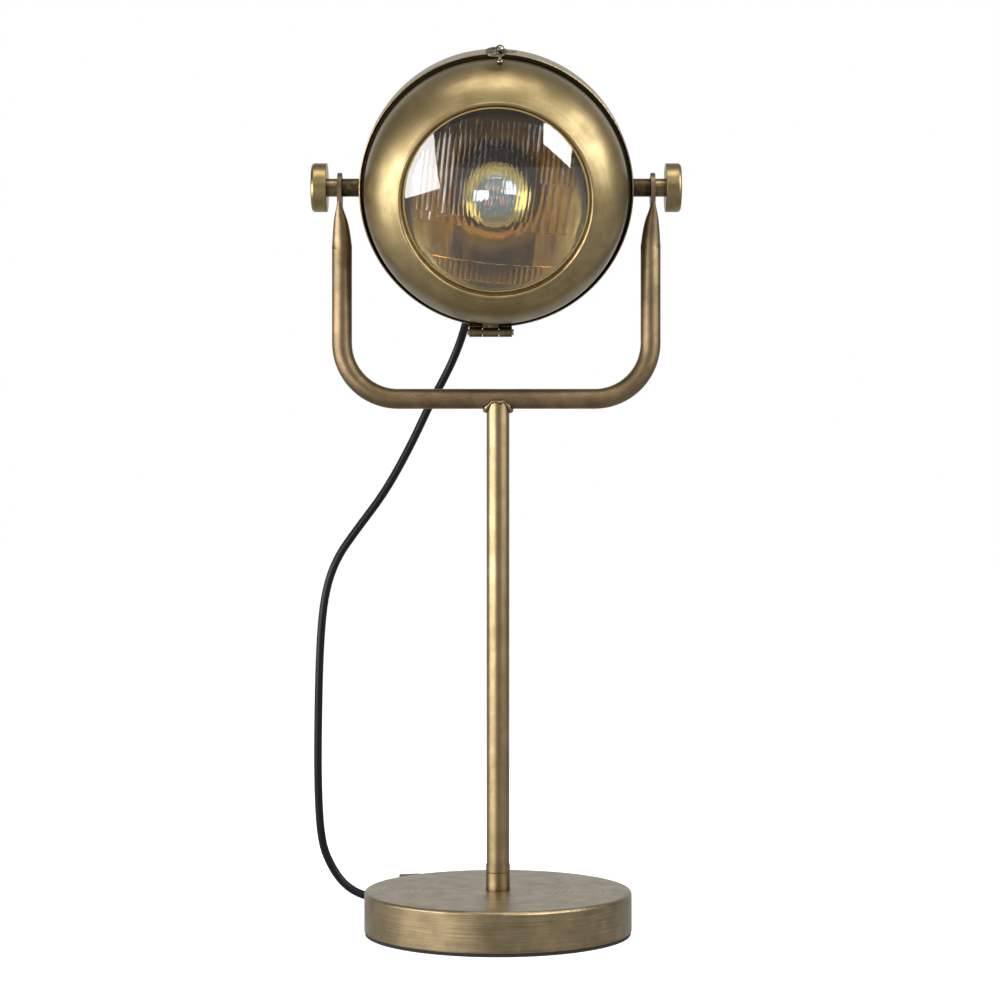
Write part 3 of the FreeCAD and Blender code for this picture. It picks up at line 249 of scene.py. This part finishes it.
def plain(
    name, colours, metallic, rough, scale_mm, bump=0.1, height=0.0001, glow=0.0, shine=0.5
):
    """A moulded, cast or plated surface: a little change of colour and gloss, and fine bumps.

    Grains finer than about half a millimetre are drawn at scale_mm, as coarse as they need to show.
    """
    material = bpy.data.materials.new(name)
    tree = empty_tree(material)
    here = node(tree, "ShaderNodeTexCoord").outputs["Object"]
    grain = node(
        tree, "ShaderNodeTexNoise", {"Vector": here, "Scale": 1000.0 / scale_mm, "Detail": 5.0}
    )
    dark, light = map(linear, colours)
    low, high = rough
    roughness = node(
        tree,
        "ShaderNodeMapRange",
        {"Value": grain, "From Min": 0.3, "From Max": 0.7, "To Min": low, "To Max": high},
    )
    bumps = {"Height": grain, "Strength": bump, "Distance": height}
    shader = node(
        tree,
        "ShaderNodeBsdfPrincipled",
        {
            "Base Color": node(
                tree, "ShaderNodeValToRGB", {"Fac": grain}, stops=[(0.35, dark), (0.65, light)]
            ),
            "Metallic": metallic,
            "Roughness": roughness,
            "Normal": node(tree, "ShaderNodeBump", bumps),
            "Specular IOR Level": shine,
            "Emission Color": light,
            "Emission Strength": glow,
        },
    )
    node(tree, "ShaderNodeOutputMaterial", {"Surface": shader})
    return material


# How far to either side of the middle the flutes begin to throw light back, and where they throw
# back most, in metres. Each streak is about 4 mm wide and 25 mm tall.
STREAKS_BEGIN = 0.016
STREAKS_FULL = 0.034
STREAKS_LEAST = 0.02
STREAKS_MOST = 0.6
STREAKS_PER_METRE = (260.0, 40.0, 40.0)


def streaks(tree):
    """How much the flutes throw back: little over the bulb, more to either side, and unevenly."""
    here = node(tree, "ShaderNodeTexCoord").outputs["Object"]
    across = node(tree, "ShaderNodeSeparateXYZ", {0: here}).outputs[0]
    shine = node(
        tree,
        "ShaderNodeMapRange",
        {
            "Value": node(tree, "ShaderNodeMath", {0: across}, operation="ABSOLUTE"),
            "From Min": STREAKS_BEGIN,
            "From Max": STREAKS_FULL,
            "To Min": STREAKS_LEAST,
            "To Max": STREAKS_MOST,
        },
    )
    tall = node(tree, "ShaderNodeMapping", {"Vector": here, "Scale": STREAKS_PER_METRE})
    uneven = node(tree, "ShaderNodeTexNoise", {"Vector": tall, "Scale": 1.0, "Detail": 1.0})
    broken = node(
        tree, "ShaderNodeMapRange", {"Value": uneven, "From Min": 0.42, "From Max": 0.6}
    )
    return folded(tree, "MULTIPLY", shine, broken)


# Glass: the waves that pressing leaves in it, the film on the bulb, and how much light a plain
# inner face throws back
WAVES_MM = 3.0
WAVE_HEIGHT = 0.0002
FILM = "A4BACE"
INNER_SHINE = 0.3


def clear_glass(name, tint, ior=1.5, coat_ior=1.5, silver=0.0, waves=0.0, fluted=False):
    """Glass that lets lamplight through, so that what is behind it isn't in the dark."""
    material = bpy.data.materials.new(name)
    tree = empty_tree(material)
    inside = node(tree, "ShaderNodeNewGeometry").outputs["Backfacing"]
    inner = streaks(tree) if fluted else INNER_SHINE
    settings = {
        "Base Color": linear(tint),
        "Roughness": 0.0,
        "IOR": ior,
        "Transmission Weight": 1.0,
        "Coat Weight": node(
            tree, "ShaderNodeMapRange", {"Value": inside, "To Min": 1.0, "To Max": inner}
        ),
        "Coat Roughness": 0.0,
        "Coat IOR": coat_ior,
    }
    if waves:
        here = node(tree, "ShaderNodeTexCoord").outputs["Object"]
        swell = node(
            tree, "ShaderNodeTexNoise", {"Vector": here, "Scale": 1000.0 / WAVES_MM, "Detail": 2.0}
        )
        bumps = {"Height": swell, "Strength": waves, "Distance": WAVE_HEIGHT}
        settings["Normal"] = node(tree, "ShaderNodeBump", bumps)
    glass = node(tree, "ShaderNodeBsdfPrincipled", settings)
    if silver:
        film = node(
            tree, "ShaderNodeBsdfAnisotropic", {"Color": linear(FILM), "Roughness": 0.04}
        )
        glass = node(tree, "ShaderNodeMixShader", {0: silver, 1: glass, 2: film})
    clear = node(tree, "ShaderNodeBsdfTransparent", {"Color": linear(tint)})
    path = node(tree, "ShaderNodeLightPath")
    passed = folded(
        tree,
        "MAXIMUM",
        path.outputs["Is Shadow Ray"],
        path.outputs["Is Diffuse Ray"],
        mirrored(tree, path),
    )
    surface = node(tree, "ShaderNodeMixShader", {0: passed, 1: glass, 2: clear})
    node(tree, "ShaderNodeOutputMaterial", {"Surface": surface})
    return material


# Painted corner shade, dark, middle and light of each brass, and of worn nickel
BRASS_SHEET = ("2A2212", "7E6E48", "8E7C54", "9E8A62")
BRASS_TUBE = ("3A3020", "786748", "887454", "988462")
BRASS_BASE = ("3A3022", "6C5E44", "88785A", "A4906E")
BRASS_DARK = ("1E1910", "54482F", "6C5E40", "877650")
# The sleeves' brass is the fitting brass darkened: painted shade
BRASS_SLEEVE_SHADED = ("140F08", "382E1C", "4A3E28", "625439")
BRASS_YOKE = ("2A2018", "62523A", "75634A", "877456")
NICKEL_WORN = ("2E2A22", "746C58", "9A917A", "C8C0AA")

materials = {
    # Spun sheet, plated and rubbed with a belt on the lathe: soft circles of shine
    "spun": brass("spun_aged_brass", "head", BRASS_SHEET, (0.36, 0.46), coat=0.45),
    # The base's cover, rubbed the same way with a coarser belt, whose lines show on its band
    "base": brass(
        "brushed_base_brass", "stand", BRASS_BASE, (0.34, 0.48), line_mm=0.6, grain=0.6
    ),
    # Drawn tube, rubbed across its length: a soft streak of light down one side
    "tube": brass("brushed_tube_brass", "stand", BRASS_TUBE, (0.34, 0.44), sweep=6.0),
    # Bent tube that was rubbed after bending, redder and duller than the straight one
    "yoke": brass(
        "rubbed_yoke_brass", "stand", BRASS_YOKE, (0.42, 0.52), sweep=6.0, coat=0.15
    ),
    # Small turned and folded fittings, with painted shade in their corners
    "fitting": brass("dark_fitting_brass", "cross", BRASS_DARK, (0.32, 0.5), patch_mm=4.0),
    # Turned sleeves: a darker copy of the fitting brass, painted shade where they sit between head
    # and yoke
    "sleeve": brass(
        "shaded_sleeve_brass", "cross", BRASS_SLEEVE_SHADED, (0.4, 0.55), patch_mm=4.0, coat=0.15
    ),
    # Knobs turned from bar, polished by hands: the brightest of the turned pieces
    "knob": brass("turned_knob_brass", "cross", BRASS_SHEET, (0.3, 0.4), patch_mm=7.0),
    # Bent wire and pin, once nickel plated and now worn to the brass: pale, with bright glints
    "latch": brass("worn_nickel_on_brass", "cross", NICKEL_WORN, (0.16, 0.28), patch_mm=2.5),
    # Zinc-plated steel: dull white metal with a slight crystal grain
    "zinc": plain("zinc_plated_steel", ("8E8F90", "B9BAB8"), 1.0, (0.3, 0.45), 2.0),
    # Grey iron as it comes from the sand, painted black: dull and rough
    "iron": plain("cast_iron", ("242426", "3C3C3E"), 0.0, (0.7, 0.9), 1.5, bump=0.5),
    # Needled felt, short and dark: no shine at all
    "felt": plain(
        "needled_felt", ("121110", "2A2826"), 0.0, (0.9, 1.0), 0.9, bump=0.9, height=0.0004
    ),
    # Gold vapour on polished steel: almost a mirror
    "mirror": plain("gold_vapour_coat", ("E6B858", "F2CC70"), 1.0, (0.08, 0.16), 22.0, bump=0.04),
    # Moulded phenolic, a hard brown-black with a low shine
    "phenolic": plain("moulded_phenolic", ("15130F", "221E19"), 0.0, (0.3, 0.45), 1.2),
    # Nickel plate on the bulb's thin brass cap and the plug's pins: clean and bright
    "nickel": plain("nickel_plate", ("B8B4AA", "D8D4C8"), 1.0, (0.15, 0.3), 3.0),
    # Phosphor-coated strips: chalky orange, with a painted glow that lights them though the lamp is
    # off
    "phosphor": plain("phosphor_coating_painted_glow", ("C8560C", "F08A1E"), 0.0, (0.5, 0.7), 1.0, glow=0.7),
    # Black rubber: fine grain and a low shine
    "rubber": plain("black_rubber", ("0E0E0E", "1A1A1A"), 0.0, (0.45, 0.6), 0.8),
    # Extruded soft PVC, a deep black with a thin line of light along it
    "cord": plain(
        "cord_jacket", ("040506", "0A0B0D"), 0.0, (0.36, 0.46), 1.0, bump=0.2, shine=0.25
    ),
    # Moulded ABS in black, with a fine spark-eroded grain
    "abs": plain("moulded_abs", ("101011", "1B1B1C"), 0.0, (0.35, 0.5), 0.6, bump=0.25),
    # Pressed glass, bright on its face and streaked by its flutes. It bends light less than real
    # glass does, so that the bulb shows through the flutes in one piece.
    "lens": clear_glass(
        "pressed_clear_glass", "FAFAF8", ior=1.22, coat_ior=1.9, waves=0.12, fluted=True
    ),
    # Blown glass with a thin blue-silver film on it: pale, with the strips dim behind it
    "bulb": clear_glass("filmed_blown_glass", "EEF3F6", silver=0.2),
    # Drawn glass tube and mount, quite clear
    "stem_glass": clear_glass("drawn_clear_glass", "EEF3F6"),
}

FINISHES = {
    "spun": "housing bezel_shell",
    "base": "base_cover",
    "tube": "stem_tube stem_foot",
    "yoke": "yoke_tube weld_bead",
    "fitting": "hinge_leaf_housing hinge_leaf_bezel",
    "sleeve": "pivot_sleeve_left pivot_sleeve_right",
    "knob": "knob_left knob_right",
    "latch": "latch_clip latch_post",
    "zinc": "base_washer base_nut knob_stud_left knob_stud_right pivot_nut_left pivot_nut_right"
    " holder_nipple holder_nuts hinge_pin lens_clips",
    "iron": "base_weight",
    "felt": "base_felt",
    "mirror": "reflector",
    "phenolic": "lampholder",
    "nickel": "bulb_cap plug_pins",
    "phosphor": "bulb_filaments",
    "rubber": "lens_gasket cord_grip",
    "abs": "switch_base switch_cover switch_rocker plug_body cord_tie",
    "lens": "lens_glass",
    "bulb": "bulb_glass",
    "stem_glass": "bulb_stem",
}


def put_finishes_on():
    for finish, names in FINISHES.items():
        for name in names.split():
            nodes[name].data.materials.clear()
            nodes[name].data.materials.append(materials[finish])


# Meshes
def circle(sides):
    """The cosine and sine of even turns, once round."""
    turns = [2 * math.pi * n / sides for n in range(sides)]
    return [(math.cos(turn), math.sin(turn)) for turn in turns]


def skin(made, rings):
    """Smooth faces between each ring of points and the next."""
    faces = []
    for near, far in zip(rings, rings[1:]):
        for n in range(len(near)):
            after = (n + 1) % len(near)
            faces.append(made.faces.new((near[n], near[after], far[after], far[n])))
            faces[-1].smooth = True
    return faces


def finished(made, name, finish):
    """A bmesh as an object with one finish, its place in its mesh."""
    mesh = bpy.data.meshes.new(name)
    made.to_mesh(mesh)
    made.free()
    mesh.materials.append(materials[finish])
    return add_object(name, mesh)


# Cord: where it leaves the head, low on the bowl's shoulder, leaning back and a little to the left
RIM_RADIUS = 0.0952
BAND_BACK = 0.008
BOWL_SHOULDER = 0.038
GRIP_LENGTH = 0.016
GRIP_LEAN = math.radians(30)
GRIP_TURN = math.radians(12)
GRIP_WAY = Vector(
    (
        -math.sin(GRIP_TURN) * math.cos(GRIP_LEAN),
        math.sin(GRIP_LEAN),
        -math.cos(GRIP_TURN) * math.cos(GRIP_LEAN),
    )
)
GRIP_REACH = RIM_RADIUS - BOWL_SHOULDER * (1 - math.cos(GRIP_LEAN))
GRIP_POINT = Vector(
    (
        -math.sin(GRIP_TURN) * GRIP_REACH,
        BAND_BACK + BOWL_SHOULDER * math.sin(GRIP_LEAN),
        -math.cos(GRIP_TURN) * GRIP_REACH,
    )
)
GRIP_TIP = HEAD @ (GRIP_POINT + GRIP_WAY * GRIP_LENGTH)
TIP_WAY = (HEAD.to_3x3() @ GRIP_WAY).normalized()

# Its way down behind the yoke and beside the stem to the switch, and out of the switch
DROP = [
    (-0.031, 0.0805, 0.407),
    (-0.0385, 0.0845, 0.392),
    (-0.0485, 0.086, 0.374),
    (-0.063, 0.0885, 0.343),
    (-0.082, 0.089, 0.3085),
    (-0.103, 0.0905, 0.281),
    (-0.1185, 0.091, 0.259),
    (-0.127, 0.0925, 0.233),
    (-0.1305, 0.094, 0.195),
    (-0.132, 0.097, 0.140),
    (-0.1325, 0.1015, 0.090),
    (-0.1305, 0.106, 0.049),
    (-0.123, 0.109, 0.0295),
    (-0.1125, 0.1094, 0.015),
    (-0.097, 0.108, 0.0072),
    (-0.083, 0.108, 0.0072),
]
SWITCH_OUT = (-0.001, 0.108, 0.0072)

# Its coil on the table behind the base: two layers, wound in below and out above
COIL_MIDDLE = Vector((0.030, 0.147, 0))
COIL_OUTER = 0.042
COIL_PITCH = 0.0066
COIL_TURNS = 2.75
COIL_STEPS = 16
COIL_LOW = 0.0037
COIL_LAYER = 0.0066
COIL_CLIMB_TURNS = 0.5
COIL_ROUNDING_TURNS = 0.25

# Its tail and plug, and how far it runs straight at each end and beside the coil
TAIL_BEND = Vector((-0.003, 0.1855, 0.0082))
PLUG_END = Vector((-0.036, 0.172, 0.0066))
PLUG_WAY = Matrix.Rotation(math.radians(15), 3, "Z") @ Vector((-1, 0, 0))
STRAIGHT_FROM_GRIP = 0.013
STRAIGHT_TO_COIL = 0.018
STRAIGHT_FROM_COIL = 0.016
STRAIGHT_TO_PLUG = 0.017

CORD_RADIUS = 0.003
CORD_SIDES = 14


def coil_point(turns):
    """The coil's centre line: in along the table, up a layer at the turn-round, and out on top."""
    angle = -math.pi / 2 + 2 * math.pi * turns
    climb = min(max((turns - COIL_TURNS) / COIL_CLIMB_TURNS + 0.5, 0), 1)
    height = COIL_LOW + COIL_LAYER * climb * climb * (3 - 2 * climb)
    inward = COIL_TURNS - abs(turns - COIL_TURNS)
    even = COIL_TURNS - COIL_ROUNDING_TURNS
    if inward > even:
        over = inward - even
        inward = even + over - over * over / (2 * COIL_ROUNDING_TURNS)
    # The spline cuts inside its points by the cosine of half a step, which is given back here
    radius = (COIL_OUTER - COIL_PITCH * inward) / (0.5 + 0.5 * math.cos(math.pi / COIL_STEPS))
    return COIL_MIDDLE + Vector((radius * math.cos(angle), radius * math.sin(angle), height))


def cord_points():
    """The whole lead, from the grip on the head to the plug."""
    all_turns = 2 * COIL_TURNS
    steps = round(all_turns * COIL_STEPS)
    coil = [coil_point(all_turns * number / steps) for number in range(steps + 1)]
    out_way = (coil_point(all_turns) - coil_point(all_turns - 0.01)).normalized()
    return [
        GRIP_TIP,
        GRIP_TIP + TIP_WAY * STRAIGHT_FROM_GRIP,
        *(Vector(place) for place in DROP),
        Vector(SWITCH_OUT),
        coil[0] - Vector((STRAIGHT_TO_COIL, 0, 0)),
        *coil,
        coil[-1] + out_way * STRAIGHT_FROM_COIL,
        TAIL_BEND,
        PLUG_END - PLUG_WAY * STRAIGHT_TO_PLUG,
        PLUG_END,
    ]


def smooth_path(points):
    """The points' one smooth line, read back from a spline."""
    curve = bpy.data.curves.new("cord_line", "CURVE")
    curve.dimensions = "3D"
    spline = curve.splines.new("NURBS")
    spline.points.add(len(points) - 1)
    for point, place in zip(spline.points, points):
        point.co = (*place, 1)
    spline.order_u = 3
    spline.use_endpoint_u = True
    spline.resolution_u = 5
    line = add_object("cord_line", curve)
    drawn = line.evaluated_get(bpy.context.evaluated_depsgraph_get())
    path = [vertex.co.copy() for vertex in bpy.data.meshes.new_from_object(drawn).vertices]
    bpy.data.objects.remove(line)
    return path


def tube(path, radius, sides):
    """A closed round tube along a path, with a UV map: round it, and metres along it."""
    made = bmesh.new()
    uv = made.loops.layers.uv.new("along")
    run = [0.0]
    for first, second in zip(path, path[1:]):
        run.append(run[-1] + (second - first).length)
    rings = []
    side = Vector((1, 0, 0))
    for before, place, after in zip(path[:1] + path, path, path[1:] + path[-1:]):
        way = (after - before).normalized()
        side = (side - way * side.dot(way)).normalized()
        other = way.cross(side)
        places = [place + (side * c + other * s) * radius for c, s in circle(sides)]
        rings.append([made.verts.new(at) for at in places])
    for number, face in enumerate(skin(made, rings)):
        row, n = divmod(number, sides)
        corners = ((n, row), (n + 1, row), (n + 1, row + 1), (n, row + 1))
        for loop, (turn, step) in zip(face.loops, corners):
            loop[uv].uv = (turn / sides, run[step])
    made.faces.new(reversed(rings[0]))
    made.faces.new(rings[-1])
    return made


def make_cord():
    """The lead that the switch, the plug and the tie sit on."""
    path = smooth_path(cord_points())
    cord = finished(tube(path, CORD_RADIUS, CORD_SIDES), "mains_cord", "cord")
    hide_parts("cord_drop", "cord_lead", "cord_coil", "cord_tail")
    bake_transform(cord)


# Weld, in millimetres: the stem's and the bar's radius, and the height of the bar's middle
STEM_RADIUS = 8.0
BAR_RADIUS = 7.0
BAR_HEIGHT = 373.5
# The bead's thickness in front, what the sides add, what a lump adds, and the least that is left
BEAD_FRONT = 1.0
BEAD_BESIDE = 1.5
BEAD_LUMP = 0.9
BEAD_LEAST = 0.8
# How much of its thickness the bead's middle lies outside the stem's wall, and under the bar's
BEAD_OUT = 0.25
BEAD_DOWN = 0.35
# Smooth noise makes the lumps, so they are the same at each run: how closely the broad and the
# fine ones lie, and how high the fine ones are beside the broad. The skin's roughness is the same.
LUMP_SEED = Vector((4, 7, 1))
LUMP_BROAD, LUMP_FINE, LUMP_FINE_SHARE = 2.3, 5.5, 0.6
SKIN_CLOSE, SKIN_SHARE = 9.0, 0.12
BEAD_STEPS, BEAD_SIDES = 144, 14


def make_weld():
    """A hand-laid bead round the saddle of stem and bar: thick beside the stem, thin in front."""
    made = bmesh.new()
    rings = []
    up = Vector((0, 0, 1))
    for cosine, sine in circle(BEAD_STEPS):
        outward = Vector((cosine, sine, 0))
        fine = LUMP_FINE_SHARE * noise.noise(outward * LUMP_FINE)
        lump = noise.noise(outward * LUMP_BROAD + LUMP_SEED) + fine
        thick = BEAD_FRONT + BEAD_BESIDE * abs(cosine) ** 3 + BEAD_LUMP * lump
        thick = max(thick, BEAD_LEAST)
        # The stem's mouth follows the bar's round underside, up to 2 mm under the bar's middle
        drop = math.sqrt(max(BAR_RADIUS**2 - (STEM_RADIUS * sine) ** 2, 2.0**2))
        middle = outward * (STEM_RADIUS + BEAD_OUT * thick)
        middle.x += STEM_OFFSET / MM
        middle.z = BAR_HEIGHT - drop - BEAD_DOWN * thick
        ring = []
        for part, (out, above) in enumerate(circle(BEAD_SIDES)):
            swing = 2 * math.pi * part / BEAD_SIDES
            rough = 1 + SKIN_SHARE * noise.noise(outward * SKIN_CLOSE + up * swing)
            place = middle + (outward * out + up * above) * thick * rough
            ring.append(made.verts.new(place * MM))
        rings.append(ring)
    skin(made, rings + rings[:1])
    bmesh.ops.recalc_face_normals(made, faces=made.faces)
    weld = finished(made, "weld_lumps", "tube")
    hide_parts("weld_bead")
    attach(weld, "stand")


# Hinge screw: a point below the middle of its leaf, and its head's radius and rise from the top
# of the dome down to just inside the leaf, all in millimetres
SCREW_BELOW = (-4.0, -4.5, 410.0)
SCREW_HEAD = [(0.7, 1.3), (1.4, 1.0), (1.9, 0.5), (2.1, 0.0), (2.1, -0.5)]
SCREW_SIDES = 28


def make_hinge_screw():
    """The domed screw head under the bezel's hinge leaf, found by looking up at the leaf."""
    leaf = nodes["hinge_leaf_bezel"]
    _, seat, normal, _ = leaf.ray_cast(Vector(SCREW_BELOW) * MM, Vector((0, 0, 1)))
    turn = normal.to_track_quat("Z", "Y").to_matrix()
    made = bmesh.new()
    rings = []
    for radius, rise in SCREW_HEAD:
        places = [Vector((radius * c, radius * s, rise)) for c, s in circle(SCREW_SIDES)]
        rings.append([made.verts.new(seat + turn @ place * MM) for place in places])
    skin(made, rings)
    made.faces.new(rings[0]).smooth = True
    made.faces.new(reversed(rings[-1]))
    bmesh.ops.recalc_face_normals(made, faces=made.faces)
    screw = finished(made, "hinge_screw", "knob")
    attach(screw, "bezel")


# Studio: a white floor and surroundings, soft lamps, and stage pieces that only metal and glass see
FLOOR_REACH = 14.0
FLOOR_HEIGHT = -0.0002
FLOOR_GLOW = 0.62
ROOM_SIDE, ROOM_DEPTH, ROOM_HEIGHT = 3.0, 3.2, 3.2
FRONT_HEIGHT = 1.3

# A tall window to the right of the camera
WINDOW = [(0.65, -1.68, 0.58), (0.98, -1.45, 0.28), (0.98, -1.45, 0.85), (0.65, -1.68, 0.85)]
WINDOW_GLOW = 9.0

# Each lamp's place, size, watts and colour
LAMP_TARGET = Vector((0, 0, 0.5))
LAMPS = {
    "softbox_left": ((-1.25, -0.75, 0.34), (1.8, 0.8), 33.0, (1, 1, 1)),
    "softbox_right": ((1.3, -0.75, 1.0), (1.4, 1.2), 27.0, (1, 1, 1)),
    "softbox_top": ((0.0, -0.75, 2.2), (1.6, 0.9), 16.0, (1.0, 0.97, 0.92)),
}


def upright(start, end, top):
    """The corners of an upright rectangle on the table's level."""
    return [(*start, 0.0), (*end, 0.0), (*end, top), (*start, top)]


def level(side, depth, height):
    """The corners of a level rectangle about the middle."""
    return [
        (-side, -depth, height),
        (side, -depth, height),
        (side, depth, height),
        (-side, depth, height),
    ]


def add_stage(name, corners, material, hidden=True):
    """One flat stage piece. The camera and matt surfaces don't see a hidden one."""
    mesh = bpy.data.meshes.new(name)
    mesh.from_pydata(corners, [], [(0, 1, 2, 3)])
    mesh.materials.append(material)
    made = add_object(name, mesh)
    if hidden:
        made.visible_camera = False
        made.visible_diffuse = False
        made.visible_shadow = False


def background_ray(tree, path):
    """1 for a ray to which the surroundings are white: the camera's, and one off metal or glass."""
    kinds = ("Is Camera Ray", "Is Glossy Ray", "Is Transmission Ray")
    return folded(tree, "MAXIMUM", *(path.outputs[kind] for kind in kinds))


def add_floor():
    """Pale paint that keeps the lamp's shadow, and looks white to the camera, metal and glass."""
    material = bpy.data.materials.new("pale_floor")
    tree = empty_tree(material)
    path = node(tree, "ShaderNodeLightPath")
    paint = node(tree, "ShaderNodeBsdfDiffuse", {"Color": linear("E8E8E8")})
    glow = node(tree, "ShaderNodeEmission", {"Color": WHITE, "Strength": FLOOR_GLOW})
    none = node(tree, "ShaderNodeEmission", {"Color": BLACK, "Strength": 0.0})
    shown = node(tree, "ShaderNodeMixShader", {0: background_ray(tree, path), 1: none, 2: glow})
    both = node(tree, "ShaderNodeAddShader", {0: paint, 1: shown})
    node(tree, "ShaderNodeOutputMaterial", {"Surface": both})
    add_stage("floor", level(FLOOR_REACH, FLOOR_REACH, FLOOR_HEIGHT), material, hidden=False)


def add_world():
    """A plain white world, at half strength as light."""
    world = bpy.data.worlds.new("studio")
    bpy.context.scene.world = world
    tree = empty_tree(world)
    path = node(tree, "ShaderNodeLightPath")
    strength = node(
        tree,
        "ShaderNodeMapRange",
        {"Value": background_ray(tree, path), "To Min": 0.5, "To Max": 1.0},
    )
    # Polished glass throws back less of it, so that the lens stays clear
    glint = folded(tree, "MINIMUM", path.outputs["Is Singular Ray"], mirrored(tree, path))
    strength = node(
        tree, "ShaderNodeMath", {0: glint, 1: -0.8, 2: strength}, operation="MULTIPLY_ADD"
    )
    background = node(tree, "ShaderNodeBackground", {"Color": WHITE, "Strength": strength})
    node(tree, "ShaderNodeOutputWorld", {"Surface": background})


def card_paint(name, shade):
    """A card's even shade, open to what the mirror behind the lens throws back: white."""
    material = bpy.data.materials.new(name)
    tree = empty_tree(material)
    path = node(tree, "ShaderNodeLightPath")
    past_first = [
        node(tree, "ShaderNodeMath", {0: path.outputs[depth], 1: 1.5}, operation="GREATER_THAN")
        for depth in ("Transmission Depth", "Glossy Depth")
    ]
    from_mirror = folded(tree, "MINIMUM", mirrored(tree, path), *past_first)
    paint = node(tree, "ShaderNodeEmission", {"Color": WHITE, "Strength": shade})
    gap = node(tree, "ShaderNodeBsdfTransparent")
    shown = node(tree, "ShaderNodeMixShader", {0: from_mirror, 1: paint, 2: gap})
    node(tree, "ShaderNodeOutputMaterial", {"Surface": shown})
    return material


def add_cards():
    """Cards round the lamp, each darker than the white that it hides, for metal and glass alone."""
    side, depth, top = ROOM_SIDE, ROOM_DEPTH, ROOM_HEIGHT
    cards = {
        "card_front": (0.2, upright((-side, -depth), (side, -depth), FRONT_HEIGHT)),
        "card_right": (0.2, upright((side, -depth), (side, depth), top)),
        "card_left": (0.2, upright((-side, depth), (-side, -depth), top)),
        "card_back": (0.75, upright((side, depth), (-side, depth), top)),
        "card_above": (0.35, level(side, depth, top)),
        "card_floor": (0.5, level(side, depth, FLOOR_HEIGHT / 2)),
    }
    for name, (shade, corners) in cards.items():
        add_stage(name, corners, card_paint(f"{name}_paint", shade))


def add_window():
    """A bright window that polished glass alone throws back."""
    material = bpy.data.materials.new("window_light")
    tree = empty_tree(material)
    polished = node(tree, "ShaderNodeLightPath").outputs["Is Singular Ray"]
    pane = node(tree, "ShaderNodeEmission", {"Color": WHITE, "Strength": WINDOW_GLOW})
    gap = node(tree, "ShaderNodeBsdfTransparent")
    shown = node(tree, "ShaderNodeMixShader", {0: polished, 1: gap, 2: pane})
    node(tree, "ShaderNodeOutputMaterial", {"Surface": shown})
    add_stage("window_right", WINDOW, material)


def add_lamps():
    for name, (place, extent, watts, colour) in LAMPS.items():
        data = bpy.data.lights.new(name, "AREA")
        data.shape = "RECTANGLE"
        data.size, data.size_y = extent
        data.energy = watts
        data.color = colour
        lamp = add_object(name, data)
        lamp.location = place
        lamp.rotation_euler = (LAMP_TARGET - Vector(place)).to_track_quat("-Z", "Y").to_euler()


add_camera()
put_finishes_on()
make_cord()
make_weld()
make_hinge_screw()
add_floor()
add_world()
add_cards()
add_window()
add_lamps()
